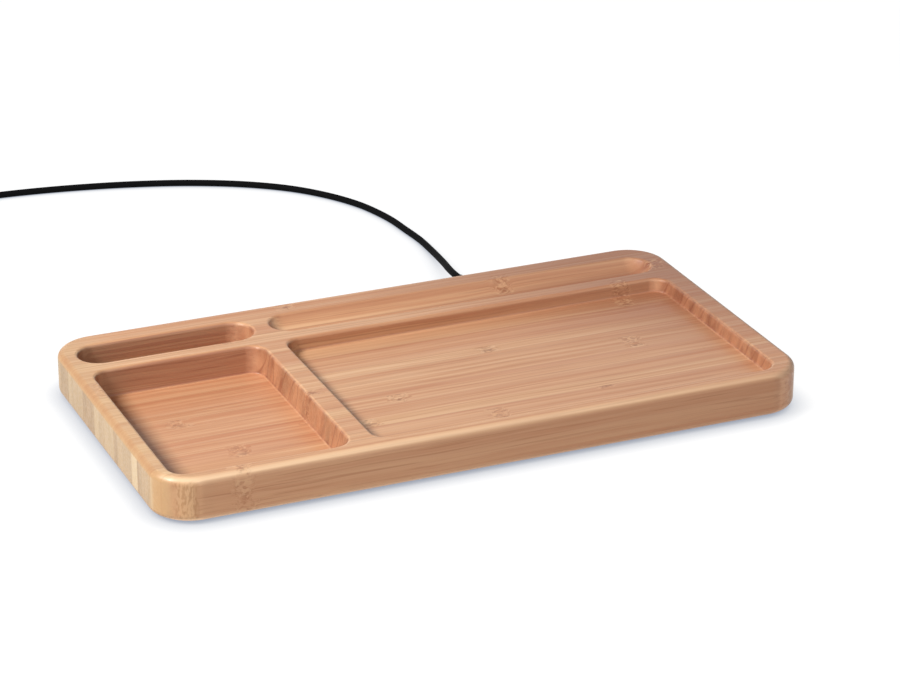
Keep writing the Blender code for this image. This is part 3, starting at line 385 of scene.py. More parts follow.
# Settings that many shader nodes share
TIMES = {"operation": "MULTIPLY"}
MULTIPLY_ADD = {"operation": "MULTIPLY_ADD"}
MINUS = {"operation": "SUBTRACT"}
ABSOLUTE = {"operation": "ABSOLUTE"}
LARGER = {"operation": "MAXIMUM"}
SCALED = {"operation": "SCALE"}
EASED = {"interpolation_type": "SMOOTHSTEP"}
STRETCH = {"vector_type": "TEXTURE"}
SHADES = {"data_type": "RGBA"}
WHITE = (1, 1, 1, 1)

# Light: the floor's reach, how white it is for the light that it throws up and for the eye, its glow for
# the eye, how far its soft shade reaches and that shade's colour, the sky's light and its tint, and the
# lamps' places, sizes and watts
FLOOR_REACH = 6.0
FLOOR_WHITE = 0.85
FLOOR_SHARE = 0.08
FLOOR_GLOW = 0.98
SHADE_REACH = 0.010
SHADE_COLOUR = (0.30, 0.34, 0.42, 1)
SKY_LIGHT = 0.23
SKY_COLOUR = (0.90, 0.96, 1.08, 1)
LAMPS = {
    "key": ((-0.922, -0.08, 0.821), 0.34, 17.3),
    "fill": ((-0.3, -1.6, 0.7), 1.2, 7.6),
}

# Places worked out from the frame
TRAY_LOW, TRAY_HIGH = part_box("tray_body")
TOP = TRAY_HIGH.z
BOTTOM = TRAY_LOW.z
LEFT_RIM = TRAY_LOW.x + SIDE_MARGIN
WELL_RIGHT = LEFT_RIM + WELL_LENGTH
CHARGE_LEFT = WELL_RIGHT + WELL_DIVIDER
CHARGE_RIGHT = TRAY_HIGH.x - RIGHT_MARGIN
GROOVE_RIGHT = TRAY_HIGH.x - GROOVE_END_MARGIN
SLOT_RIGHT = CHARGE_LEFT - SLOT_DIVIDER
FRONT_RIM = TRAY_LOW.y + FRONT_MARGIN
ROW_BACK = TRAY_HIGH.y - BACK_MARGIN
ROW_FRONT = ROW_BACK - ROW_WIDTH
POCKET_BACK = ROW_FRONT - ROW_DIVIDER
PAD_LOW, PAD_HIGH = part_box("coil_pad")
MODULE = (PAD_LOW + PAD_HIGH) / 2
BOARD_LOW, BOARD_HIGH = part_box("circuit_board")
COVER_LOW, COVER_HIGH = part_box("bottom_cover")
COVER_RECESS_ROOF = COVER_LOW.z + COVER_THICKNESS + SEAT_GAP
CARRIER_LOW, CARRIER_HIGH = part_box("coil_carrier")
GRIP_LOW, GRIP_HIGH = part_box("plug_grip")
PORT = (GRIP_LOW + GRIP_HIGH) / 2
CORD_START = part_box("cord_run")[0].y


def colour(hex_code):
    """An sRGB hex colour as linear light, each channel by the sRGB curve."""
    channels = np.array([int(hex_code[i : i + 2], 16) for i in (1, 3, 5)]) / 255
    light = np.where(channels <= 0.04045, channels / 12.92, ((channels + 0.055) / 1.055) ** 2.4)
    return (*light.tolist(), 1.0)


def add(tree, kind, settings=None, inputs=None, out=0):
    """Adds a shader node: settings are its own, inputs are linked or set. Gives one output, or all."""
    made = tree.nodes.new("ShaderNode" + kind)
    for name, value in (settings or {}).items():
        setattr(made, name, value)
    for key, value in (inputs or {}).items():
        if isinstance(value, bpy.types.NodeSocket):
            tree.links.new(value, made.inputs[key])
        else:
            made.inputs[key].default_value = value
    return made.outputs if out is None or not made.outputs else made.outputs[out]


def empty_tree(owner):
    """The node tree of a material or a world, with nothing in it yet."""
    owner.use_nodes = True
    owner.node_tree.nodes.clear()
    return owner.node_tree


def put(name, data):
    """A new object in the scene."""
    made = bpy.data.objects.new(name, data)
    bpy.context.scene.collection.objects.link(made)
    return made


def start_finish(name):
    """An empty material, and the piece's own coordinates in millimetres to draw it with."""
    made = bpy.data.materials.new(name)
    tree = empty_tree(made)
    place = add(tree, "TexCoord", out="Object")
    return made, tree, add(tree, "VectorMath", SCALED, {0: place, "Scale": 1000.0})


def end_finish(made, inputs):
    """The material with one shader on those inputs."""
    shader = add(made.node_tree, "BsdfPrincipled", {}, inputs)
    add(made.node_tree, "OutputMaterial", {}, {"Surface": shader})
    return made


def stain(tree, base, at, stains):
    """Lays tints over a colour one by one, each as strongly as its shares multiplied together."""
    for tint, *shares in stains:
        strength, *others = [at.get(share, share) for share in shares]
        for other in others:
            strength = add(tree, "Math", TIMES, {0: strength, 1: other})
        tint = colour(tint) if isinstance(tint, str) else tint
        base = add(tree, "Mix", SHADES, {0: strength, 6: base, 7: tint}, 2)
    return base


def bamboo():
    """Laminated bamboo, milled, sanded and finished with oil.

    The plank is upright strips glued side by side, so each strip has its own tone and its own node, with
    a fine glue line and a lighter edge where the next one starts. Fibres run along the tray as long thin
    streaks, and at a node they curl round a darker eye. Where a face cuts across them their ends show:
    pale and yellow on the planed ends of the plank, as rows of dots round its left corners, and redder,
    in leaning bands with dark splits, on the walls that the cutter left inside. The sanded rounds have a
    tone of their own. Light and shade are painted into the colour too: a highlight along the front round,
    shade in the fillets, on the floors at the foot of the pockets' left walls, on the deep pockets' back
    walls and floors and in the back right corner, the wood dimmer and redder towards its right end, the
    planed ends darker towards the back and lighter at the right end, and the back walls further right
    lighter.
    """
    made, tree, mm = start_finish("laminated_bamboo")
    at = dict(zip("xyz", add(tree, "SeparateXYZ", {}, {0: mm}, None)))

    # Strips: each strip's tone, its node's place, and how far into the strip a point is. A ramp is read at
    # 256 places, so each start is put on one of them
    half_width = 1000 * TRAY_HIGH.y
    half_length = 1000 * TRAY_HIGH.x
    across = {"Value": at["y"], "From Min": -half_width, "From Max": half_width}
    across = add(tree, "MapRange", {}, across)
    strip = add(tree, "ValToRGB", {}, {"Fac": across}, "Color")
    ramp = strip.node.color_ramp
    ramp.interpolation = "CONSTANT"
    starts = [round(255 * (start + half_width) / (2 * half_width)) / 255 for start, _, _ in STRIPS]
    for start in starts[2:]:
        ramp.elements.new(start)
    for element, start, (_, tone, node_place) in zip(ramp.elements, starts, STRIPS):
        element.position = max(start - 0.0005, 0)
        element.color = (tone, (node_place / half_length + 1) / 2, start, 1)
    at["tone"], node_share, start_share = add(tree, "SeparateColor", {}, {0: strip}, None)
    into = add(tree, "Math", MINUS, {0: across, 1: start_share})
    at["into"] = add(tree, "Math", TIMES, {0: into, 1: 2 * half_width})

    # Noise where the fibres curl or are cut across, some of it on places that wander as the fibres do
    wide = add(tree, "Mapping", STRETCH, {"Vector": mm, "Scale": BEND_SIZE})
    bend = add(tree, "TexNoise", {}, {"Vector": wide, "Scale": 1.0}, "Color")
    wavy = add(tree, "VectorMath", MULTIPLY_ADD, {0: bend, 1: CUT_BEND, 2: mm})
    for name, (wanders, size, lean, detail, distortion) in CUT_GRAIN.items():
        laid = {"Vector": wavy if wanders else mm, "Rotation": (lean, 0, 0), "Scale": size}
        noise = {"Vector": add(tree, "Mapping", STRETCH, laid), "Scale": 1.0, "Detail": detail}
        at[name] = add(tree, "TexNoise", {}, {**noise, "Distortion": distortion}, "Fac")

    # Distances, in millimetres but for the splits' contour: a node's front is wavy
    wave = add(tree, "TexNoise", {}, {"Vector": mm, "Scale": NODE_WAVES, "Detail": 2.0}, "Fac")
    node_x = {"Value": node_share, "To Min": -half_length, "To Max": half_length}
    beyond_node = add(tree, "Math", MINUS, {0: at["x"], 1: add(tree, "MapRange", {}, node_x)})
    beyond_node = add(tree, "Math", MULTIPLY_ADD, {0: wave, 1: NODE_WAVE, 2: beyond_node})
    distances = {
        "from_node": (beyond_node, NODE_WAVE / 2),
        "from_eye": (at["into"], EYE_PLACE),
        "from_split": (at["splits"], 0.5),
        "from_middle": (at["x"], 0),
        "from_left_rim": (at["x"], 1000 * LEFT_RIM),
        "from_divider": (at["x"], 1000 * CHARGE_LEFT),
    }
    for name, (value, centre) in distances.items():
        at[name] = add(tree, "Math", ABSOLUTE, {0: add(tree, "Math", MINUS, {0: value, 1: centre})})
    at["to_corner"] = add(tree, "Math", MULTIPLY_ADD, {0: at["y"], 1: CORNER_SLANT, 2: at["x"]})

    # Which way a face looks: towards the tray's ends, its front or back, or up
    normal = add(tree, "TexCoord", out="Normal")
    at["to_right"], at["to_back"], _ = add(tree, "SeparateXYZ", {}, {0: normal}, None)
    facing = add(tree, "SeparateXYZ", {}, {0: add(tree, "VectorMath", ABSOLUTE, {0: normal})}, None)
    at["to_end"], at["to_front"], at["to_top"] = facing
    sideways = add(tree, "Math", TIMES, {0: at["to_end"], 1: at["to_end"]})
    sideways = {0: at["to_front"], 1: at["to_front"], 2: sideways}
    at["sideways"] = add(tree, "Math", MULTIPLY_ADD, sideways)

    for name, (measure, start, full) in FADES.items():
        fade = {"Value": at[measure], "From Min": start, "From Max": full}
        at[name] = add(tree, "MapRange", EASED, fade)
    for name, (measure, start, end, low, high) in DRIFTS.items():
        drift = {"Value": at[measure], "From Min": start, "From Max": end, "To Min": low, "To Max": high}
        at[name] = add(tree, "MapRange", {}, drift)

    # Fibres: noise drawn out along the tray, its own on each strip, slightly bent, and more so at a node
    bent = add(tree, "VectorMath", MULTIPLY_ADD, {0: bend, 1: FIBRE_BEND, 2: mm})
    swerve = add(tree, "VectorMath", SCALED, {0: NODE_BEND, "Scale": at["node_band"]})
    bent = add(tree, "VectorMath", {}, {0: bent, 1: swerve})
    slide = add(tree, "CombineXYZ", {}, {"X": add(tree, "Math", TIMES, {0: start_share, 1: GRAIN_SLIDE})})
    laid = add(tree, "VectorMath", {}, {0: bent, 1: slide})
    for name, (size, detail, roughness, low, high) in FIBRES.items():
        drawn_out = add(tree, "Mapping", STRETCH, {"Vector": laid, "Scale": size})
        noise = {"Vector": drawn_out, "Scale": 1.0, "Detail": detail, "Roughness": roughness}
        noise = add(tree, "TexNoise", {}, noise, "Fac")
        at[name] = add(tree, "MapRange", EASED, {"Value": noise, "From Min": low, "From Max": high})

    pale = stain(tree, colour("#D0986F"), at, [("#E6BD90", "tone")])
    deep = stain(tree, colour("#BF815E"), at, [("#D4A578", "tone")])
    wood = stain(tree, deep, at, [(pale, "broad"), *WOOD_STAINS])
    dotted = stain(tree, colour("#B99068"), at, [("#A0764F", "dotted", "aslant"), ("#AB855A", "square")])
    wood = stain(tree, wood, at, [(dotted, "left_corner", "outer_left", "upright", 0.8)])
    planed = stain(tree, colour("#A88865"), at, PLANED_STAINS)
    milled = stain(tree, colour("#B07858"), at, [("#84513B", "banded")])
    milled = stain(tree, wood, at, [(milled, 0.7), ("#783F2B", "split", 0.45)])
    ends = stain(tree, planed, at, [(milled, "inside")])
    milled_end = add(tree, "Math", TIMES, {0: at["cut_inside"], 1: at["inside"]})
    at["cut"] = add(tree, "Math", LARGER, {0: at["cut_outside"], 1: milled_end})
    wood = stain(tree, wood, at, [(ends, "cut"), *NODE_STAINS])

    # The cutter leaves the bundle ends on the walls inside slightly lumpy
    lumps = add(tree, "Math", TIMES, {0: milled_end, 1: at["bands"]})
    curls = add(tree, "Math", TIMES, {0: at["curl_dark"], 1: at["node_band"]})
    relief = add(tree, "Math", MULTIPLY_ADD, {0: curls, 1: CURL_RELIEF, 2: at["fine"]})
    relief = add(tree, "Math", MULTIPLY_ADD, {0: lumps, 1: LUMP_RELIEF, 2: relief})
    rough = add(tree, "MapRange", {}, {"Value": at["fine"], "To Min": 0.34, "To Max": 0.50})
    bump = add(tree, "Bump", {}, {"Strength": 0.5, "Distance": 0.00008, "Height": relief})
    inputs = {"Base Color": wood, "Roughness": rough, "IOR": 1.5, "Specular IOR Level": 0.28}
    return end_finish(made, {**inputs, "Normal": bump, "Coat Weight": 0.1, "Coat Roughness": 0.22})


def moulded(name, tint, shade, roughness, grain_mm, depth_mm, gloss=0.5):
    """Plastic or rubber out of a mould: an even colour, and the fine grain that the mould leaves."""
    made, tree, mm = start_finish(name)
    grain = add(tree, "TexNoise", {}, {"Vector": mm, "Scale": 1 / grain_mm, "Detail": 2.0}, "Fac")
    cloud = add(tree, "TexNoise", {}, {"Vector": mm, "Scale": 0.08, "Detail": 2.0}, "Fac")
    tone = add(tree, "Mix", SHADES, {0: cloud, 6: colour(shade), 7: colour(tint)}, 2)
    rough = {"Value": grain, "To Min": roughness - 0.07, "To Max": roughness + 0.07}
    rough = add(tree, "MapRange", {}, rough)
    bump = add(tree, "Bump", {}, {"Strength": 0.6, "Distance": depth_mm / 1000, "Height": grain})
    inputs = {"Base Color": tone, "Roughness": rough, "IOR": 1.5, "Specular IOR Level": gloss}
    return end_finish(made, {**inputs, "Normal": bump})


def plated(name, tint, roughness, line_mm):
    """Drawn and plated sheet metal or wire: fine draw lines along the piece, in gloss and in relief."""
    made, tree, mm = start_finish(name)
    drawn = add(tree, "Mapping", {}, {"Vector": mm, "Scale": (1 / line_mm, 0.06, 1 / line_mm)})
    lines = add(tree, "TexNoise", {}, {"Vector": drawn, "Scale": 1.0, "Detail": 3.0}, "Fac")
    rough = {"Value": lines, "To Min": roughness - 0.08, "To Max": roughness + 0.10}
    rough = add(tree, "MapRange", {}, rough)
    bump = add(tree, "Bump", {}, {"Strength": 0.3, "Distance": 0.00001, "Height": lines})
    inputs = {"Base Color": colour(tint), "Metallic": 1.0, "Roughness": rough, "Normal": bump}
    return end_finish(made, inputs)


def stranded_copper():
    """Enamelled copper strands twisted into one wire: slanted lines round it, from its own UV map."""
    made, tree, _ = start_finish("litz_copper")
    uv = add(tree, "UVMap", {"uv_map": "along"})
    along, round_it, _ = add(tree, "SeparateXYZ", {}, {0: uv}, None)
    # The strands are drawn coarser than the real 0.1 mm so that they show
    strands = 9.0
    twist_per_metre = 160.0
    turn = add(tree, "Math", TIMES, {0: round_it, 1: strands})
    turn = add(tree, "Math", MULTIPLY_ADD, {0: along, 1: strands * twist_per_metre, 2: turn})
    wave = add(tree, "Math", {"operation": "PINGPONG"}, {0: turn, 1: 0.5})
    tone = add(tree, "Mix", SHADES, {0: wave, 6: colour("#8A4A26"), 7: colour("#C9773F")}, 2)
    bump = add(tree, "Bump", {}, {"Strength": 0.8, "Distance": 0.0001, "Height": wave})
    return end_finish(made, {"Base Color": tone, "Metallic": 1.0, "Roughness": 0.38, "Normal": bump})


def foam():
    """Closed-cell foam: matt grey, with cells of about half a millimetre."""
    made, tree, mm = start_finish("closed_cell_foam")
    cells = add(tree, "TexVoronoi", {}, {"Vector": mm, "Scale": 2.0}, "Distance")
    tone = add(tree, "Mix", SHADES, {0: cells, 6: colour("#55575A"), 7: colour("#7C7F82")}, 2)
    bump = add(tree, "Bump", {}, {"Strength": 0.7, "Distance": 0.0001, "Height": cells})
    return end_finish(made, {"Base Color": tone, "Roughness": 0.92, "IOR": 1.45, "Normal": bump})


def solder_mask():
    """Green solder mask over etched copper: the tracks show as slightly lighter, raised lines."""
    made, tree, mm = start_finish("green_solder_mask")
    tracks = {"Vector": mm, "Scale": 0.32, "Mortar Size": 0.035, "Mortar Smooth": 0.2}
    tracks = add(tree, "TexBrick", {}, tracks, "Fac")
    tone = add(tree, "Mix", SHADES, {0: tracks, 6: colour("#1F5B38"), 7: colour("#2F7A4C")}, 2)
    bump = add(tree, "Bump", {}, {"Strength": 0.5, "Distance": 0.00003, "Height": tracks})
    return end_finish(made, {"Base Color": tone, "Roughness": 0.32, "IOR": 1.5, "Normal": bump})


def fired_ceramic(name, tint, shade, roughness):
    """Pressed and fired powder, as in ferrite and chip capacitors: a speckled, slightly rough body."""
    made, tree, mm = start_finish(name)
    speck = add(tree, "TexNoise", {}, {"Vector": mm, "Scale": 3.0, "Detail": 4.0}, "Fac")
    tone = add(tree, "Mix", SHADES, {0: speck, 6: colour(shade), 7: colour(tint)}, 2)
    bump = add(tree, "Bump", {}, {"Strength": 0.5, "Distance": 0.00002, "Height": speck})
    return end_finish(made, {"Base Color": tone, "Roughness": roughness, "IOR": 1.6, "Normal": bump})


def ring_mesh(name, rings, closed=False):
    """A mesh over rings of points, one row of the grid to a ring: each cell between two rows is a quad.
    The first and last rings are capped, or joined to each other when the rings close on themselves."""
    rows, columns = rings.shape[:2]
    index = np.arange(rows * columns).reshape(rows, columns)
    lower = index if closed else index[:-1]
    upper = np.roll(index, -1, axis=0) if closed else index[1:]
    quads = np.stack([lower, np.roll(lower, -1, axis=1), np.roll(upper, -1, axis=1), upper], axis=-1)
    faces = quads.reshape(-1, 4).tolist()
    if not closed:
        faces += [index[0, ::-1].tolist(), index[-1].tolist()]
    mesh = bpy.data.meshes.new(name)
    mesh.from_pydata(rings.reshape(-1, 3).tolist(), [], faces)
    return outward(mesh)


def outward(mesh, sharp_degrees=35):
    """Turns the faces outwards, and shades smooth but for edges that bend more than an angle."""
    shape = bmesh.new()
    shape.from_mesh(mesh)
    bmesh.ops.recalc_face_normals(shape, faces=shape.faces)
    shape.to_mesh(mesh)
    shape.free()
    mesh.shade_smooth()
    mesh.set_sharp_from_angle(angle=radians(sharp_degrees))
    return mesh


def outline_rings(half_x, half_y, corner, height, steps):
    """Rounded rectangles, one to a height: a point is its corner's middle plus the corner's radius times
    its direction, and the directions of each corner make a quarter turn."""
    half_x, half_y, corner, height = np.broadcast_arrays(half_x, half_y, corner, height)
    turn = (np.arange(4)[:, None] + np.linspace(0, 1, steps + 1)) * pi / 2
    direction = np.stack([np.cos(turn), np.sin(turn)], axis=-1).reshape(-1, 2)
    side = np.repeat([(1, 1), (-1, 1), (-1, -1), (1, -1)], steps + 1, axis=0)
    x = side[:, 0] * (half_x - corner)[:, None] + corner[:, None] * direction[:, 0]
    y = side[:, 1] * (half_y - corner)[:, None] + corner[:, None] * direction[:, 1]
    return np.stack([x, y, np.broadcast_to(height[:, None], x.shape)], axis=-1)


def turned_rings(radius, height, sides):
    """A profile turned about the upright axis: its radius times the cosine and sine of each angle."""
    radius, height = np.broadcast_arrays(radius, height)
    turn = tau * np.arange(sides) / sides
    x = radius[:, None] * np.cos(turn)
    y = radius[:, None] * np.sin(turn)
    return np.stack([x, y, np.broadcast_to(height[:, None], x.shape)], axis=-1)


def quarter(radius, steps=EDGE_STEPS):
    """A quarter round from a flat face to an upright side: how far in, and how far up, each point lies."""
    turn = np.linspace(0, pi / 2, steps + 1)
    return radius * (1 - np.sin(turn)), radius * (1 - np.cos(turn))


def rounded_plate(half_x, half_y, corner, low, high, edge_low, edge_high, steps=CORNER_STEPS):
    """A plate's rings from its lower face to its upper one: a quarter round off its outline at each edge."""
    inset_low, rise_low = quarter(edge_low)
    inset_high, rise_high = quarter(edge_high)
    inset = np.concatenate([inset_low, inset_high[::-1]])
    height = np.concatenate([low + rise_low, high - rise_high[::-1]])
    return outline_rings(half_x - inset, half_y - inset, corner - inset, height, steps)


def along_y(rings):
    """Rings that were drawn level, stood across the Y axis: heights become places along it."""
    return rings[..., (0, 2, 1)]


def rim_profile(lean, start_inset):
    """The rounded rim of a pocket as a cutter has it: an arc from the wall's lean to level, then upright."""
    turn = np.linspace(lean, pi / 2, EDGE_STEPS + 1)
    inset = start_inset + RIM_ROUND * (np.cos(turn) - cos(lean))
    height = TOP - RIM_ROUND * (1 - np.sin(turn))
    return np.append(inset, inset[-1]), np.append(height, TOP + OVERRUN)


def pocket_profile(depth):
    """A straight wall with a small quarter round at the floor, and the rim's round at the top."""
    inset, rise = quarter(POCKET_FILLET)
    rim_inset, rim_height = rim_profile(0, 0)
    return np.concatenate([inset, rim_inset]), np.concatenate([TOP - depth + rise, rim_height])


def groove_profile():
    """A round-bottomed groove: an arc of the radius that its width and depth give, and the rim's round."""
    half = ROW_WIDTH / 2
    arc = (half**2 + GROOVE_DEPTH**2) / (2 * GROOVE_DEPTH)
    lean = pi / 2 - np.arcsin(half / arc)
    highest = GROOVE_DEPTH - RIM_ROUND * (1 - sin(lean))
    turn = np.linspace(GROOVE_START_ANGLE, np.arccos(1 - highest / arc), 2 * EDGE_STEPS)
    inset = half - arc * np.sin(turn)
    height = TOP - GROOVE_DEPTH + arc * (1 - np.cos(turn))
    rim_inset, rim_height = rim_profile(lean, inset[-1])
    return np.append(inset[:-1], rim_inset), np.append(height[:-1], rim_height)


def pocket_rings(x_range, y_range, corner, profile):
    """A pocket's cutter: its outline at each height of its profile, drawn in by the profile's inset."""
    half_x = (x_range[1] - x_range[0]) / 2
    half_y = (y_range[1] - y_range[0]) / 2
    inset, height = profile
    rings = outline_rings(half_x - inset, half_y - inset, corner - inset, height, CORNER_STEPS)
    return rings + (sum(x_range) / 2, sum(y_range) / 2, 0)


def carve(mesh, cutters, joins=()):
    """The mesh with solids joined to it and others cut from it, worked out by exact Booleans."""
    work = put("work", mesh)
    helpers = []
    shapes = [(rings, "UNION") for rings in joins] + [(rings, "DIFFERENCE") for rings in cutters]
    for rings, operation in shapes:
        helper = put("helper", ring_mesh("helper", rings))
        helpers.append(helper)
        boolean = work.modifiers.new("cut", "BOOLEAN")
        boolean.operation = operation
        boolean.solver = "EXACT"
        boolean.object = helper
    bpy.context.view_layer.update()
    seen = work.evaluated_get(bpy.context.evaluated_depsgraph_get())
    carved = bpy.data.meshes.new_from_object(seen)
    for obj in (work, *helpers):
        bpy.data.objects.remove(obj, do_unlink=True)
    return outward(carved)


def place(name, mesh, finish, body, slot, nodes=()):
    """Adds a finished piece with its material and its body, and hides the nodes that it stands for. The slot
    is not used.
    """
    mesh.materials.clear()
    mesh.materials.append(finish)
    piece = put(name, mesh)
    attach(piece, body)
    if nodes:
        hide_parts(*nodes)
    return piece


def even_normals(piece):
    """Lets large flat faces keep their own direction where a fine round meets them."""
    weighted = piece.modifiers.new("even_normals", "WEIGHTED_NORMAL")
    weighted.keep_sharp = True
    return piece


def middle_of(name):
    """The middle of a solid's box."""
    low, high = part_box(name)
    return (low + high) / 2


def screw_places():
    """The screws' axes, each half a head in from its box's corner."""
    to_axis = Vector((SCREW_HEAD_RADIUS, SCREW_HEAD_RADIUS, 0))
    return [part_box(name)[0] + to_axis for name in SCREWS]


def cover_outline(grow, heights):
    """The bottom cover's outline at each height, drawn out by so much."""
    half = (COVER_HIGH - COVER_LOW) / 2
    middle = (COVER_HIGH + COVER_LOW) / 2
    rings = outline_rings(half.x + grow, half.y + grow, COVER_CORNER + grow, heights, CORNER_STEPS)
    return rings + (middle.x, middle.y, 0)


def notch_rings():
    """The arch through the back wall for the plug: its outline along Y, eased wider at the outer mouth."""
    below = BOTTOM - OVERRUN
    roof = PORT.z + (GRIP_HIGH.z - GRIP_LOW.z) / 2 + NOTCH_CLEAR
    half_x = (GRIP_HIGH.x - GRIP_LOW.x) / 2 + NOTCH_CLEAR
    half_z = (roof - below) / 2
    inner_end = BOARD_HIGH.y + BOARD_BACK_CLEAR - BOARD_POCKET_CORNER
    inset, rise = quarter(NOTCH_EASE, steps=4)
    grow = np.concatenate([[0], NOTCH_EASE - inset[::-1], [NOTCH_EASE]])
    mouth = TRAY_HIGH.y - rise[::-1]
    station = np.concatenate([[inner_end], mouth, [TRAY_HIGH.y + OVERRUN]])
    corner = GRIP_CORNER + NOTCH_CLEAR + grow
    rings = along_y(outline_rings(half_x + grow, half_z + grow, corner, station, steps=8))
    return rings + (PORT.x, 0, (roof + below) / 2)


def make_tray(wood):
    """The milled plank: a rounded plate, less its four pockets and the cavities, bores and arch below."""
    plank = rounded_plate(
        TRAY_HIGH.x, TRAY_HIGH.y, TRAY_CORNER, BOTTOM, TOP, TRAY_EDGE, TRAY_EDGE, 2 * CORNER_STEPS
    )
    below = BOTTOM - OVERRUN
    pockets_y = (FRONT_RIM, POCKET_BACK)
    row_y = (ROW_FRONT, ROW_BACK)
    board_half = (BOARD_HIGH - BOARD_LOW) / 2
    coil_radius = (CARRIER_HIGH.x - CARRIER_LOW.x) / 2 + COIL_POCKET_CLEAR
    board_front = MODULE.y + coil_radius - BOARD_POCKET_OVERLAP
    board_back = BOARD_HIGH.y + BOARD_BACK_CLEAR
    socket_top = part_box("socket_shell")[1].z
    half_x = board_half.x + BOARD_POCKET_CLEAR
    half_y = (board_back - board_front) / 2
    heights = [below, socket_top + BOARD_ROOM]
    board_room = outline_rings(half_x, half_y, BOARD_POCKET_CORNER, heights, steps=6)
    coil_room = turned_rings(coil_radius, [below, PAD_HIGH.z + SEAT_GAP], CAVITY_SIDES)
    foot_low, foot_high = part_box(FEET[0])
    foot_bore = (foot_high.x - foot_low.x) / 2 + SEAT_GAP
    foot_roof = foot_high.z + SEAT_GAP
    pilot = SCREW_SHANK_RADIUS + SEAT_GAP
    pilot_roof = BOTTOM + SCREW_LENGTH + PILOT_ROOM
    cutters = [
        pocket_rings((LEFT_RIM, WELL_RIGHT), pockets_y, POCKET_CORNER, pocket_profile(WELL_DEPTH)),
        pocket_rings((CHARGE_LEFT, CHARGE_RIGHT), pockets_y, POCKET_CORNER, pocket_profile(CHARGE_DEPTH)),
        pocket_rings((LEFT_RIM, SLOT_RIGHT), row_y, ROW_WIDTH / 2, pocket_profile(SLOT_DEPTH)),
        pocket_rings((CHARGE_LEFT, GROOVE_RIGHT), row_y, ROW_WIDTH / 2, groove_profile()),
        cover_outline(SEAT_GAP, (below, COVER_RECESS_ROOF)),
        coil_room + (MODULE.x, MODULE.y, 0),
        board_room + (PORT.x, (board_back + board_front) / 2, 0),
        notch_rings(),
    ]
    bore = turned_rings(foot_bore, [below, foot_roof], FOOT_SIDES)
    cutters += [bore + (spot.x, spot.y, 0) for spot in map(middle_of, FEET)]
    bore = turned_rings(pilot, [below, pilot_roof], PILOT_SIDES)
    cutters += [bore + (spot.x, spot.y, 0) for spot in screw_places()]
    mesh = carve(ring_mesh("bamboo_tray", plank), cutters)
    return even_normals(place("bamboo_tray", mesh, wood, "tray", "bamboo", ["tray_body"]))


def make_feet(rubber):
    """Rubber discs: a turned profile with a rounded rim and a shallow dish inside it, at each corner."""
    for name in FEET:
        low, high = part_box(name)
        radius = (high.x - low.x) / 2
        inset, rise = quarter(FOOT_EDGE, steps=6)
        ring_inset, ring_rise = quarter(FOOT_DISH, steps=5)
        dish_edge = radius - FOOT_RIM - ring_inset[::-1]
        profile_radius = np.concatenate([[FOOT_CENTRE], dish_edge, radius - inset, [radius, FOOT_CENTRE]])
        dish = low.z + FOOT_DISH
        profile_height = np.concatenate([[dish], dish - ring_rise, low.z + rise, [high.z, high.z]])
        rings = turned_rings(profile_radius, profile_height, FOOT_SIDES) + (*middle_of(name).xy, 0)
        place(f"rubber_{name}", ring_mesh(name, rings), rubber, "tray", "foot_rubber", [name])


def make_cover(plastic):
    """The moulded plate under the works: a plate with small round edges, posts on it and screw bores."""
    half = (COVER_HIGH - COVER_LOW) / 2
    middle = (COVER_HIGH + COVER_LOW) / 2
    plate_top = COVER_RECESS_ROOF - SEAT_GAP
    rings = rounded_plate(half.x, half.y, COVER_CORNER, BOTTOM, plate_top, COVER_EDGE, COVER_EDGE / 2)
    mesh = ring_mesh("cover", rings + (middle.x, middle.y, 0))
    low = plate_top - WELD_OVERLAP
    carrier_radius = (CARRIER_HIGH.x - CARRIER_LOW.x) / 2 * CARRIER_POST_SHARE
    angles = [pi / 4 + pi / 2 * number for number in range(4)]
    carrier_spots = [(MODULE.x + carrier_radius * cos(a), MODULE.y + carrier_radius * sin(a)) for a in angles]
    peg_x = (BOARD_LOW.x + PEG_INSET, BOARD_HIGH.x - PEG_INSET)
    peg_y = (BOARD_LOW.y + PEG_INSET, BOARD_HIGH.y - PEG_INSET)
    board_spots = [(x, y) for y in peg_y for x in peg_x]
    seat = BOARD_LOW.z - SEAT_GAP
    post = turned_rings(POST_RADIUS, [low, CARRIER_LOW.z - SEAT_GAP], POST_SIDES)
    radii = [POST_RADIUS, POST_RADIUS, PEG_RADIUS, PEG_RADIUS]
    pegged = turned_rings(radii, [low, seat, seat, BOARD_HIGH.z + PEG_HEIGHT], POST_SIDES)
    joins = [post + (x, y, 0) for x, y in carrier_spots] + [pegged + (x, y, 0) for x, y in board_spots]
    head = SCREW_HEAD_RADIUS + SEAT_GAP
    shank = SCREW_SHANK_RADIUS + SEAT_GAP
    heights = [BOTTOM - OVERRUN, BOTTOM, BOTTOM + SCREW_HEAD_DEPTH, plate_top + OVERRUN]
    countersink = turned_rings([head, head, shank, shank], heights, COUNTERSINK_SIDES)
    cutters = [countersink + (spot.x, spot.y, 0) for spot in screw_places()]
    mesh = carve(mesh, cutters, joins)
    even_normals(place("moulded_cover", mesh, plastic, "tray", "cover_plastic", ["bottom_cover"]))


def cross_rings():
    """The driver's recess: a cross outline that shrinks with depth to a blunt point."""
    arm = CROSS_REACH
    half = CROSS_HALF_WIDTH
    corners = [(arm, -half), (arm, half), (half, half), (half, arm), (-half, arm), (-half, half)]
    outline = np.array(corners + [(-x, -y) for x, y in corners])
    height = BOTTOM + np.array([-CROSS_DEPTH / 3, 0, CROSS_DEPTH])
    flat = np.array(CROSS_TAPER)[:, None, None] * outline
    return np.concatenate([flat, np.broadcast_to(height[:, None, None], flat.shape[:2] + (1,))], axis=2)


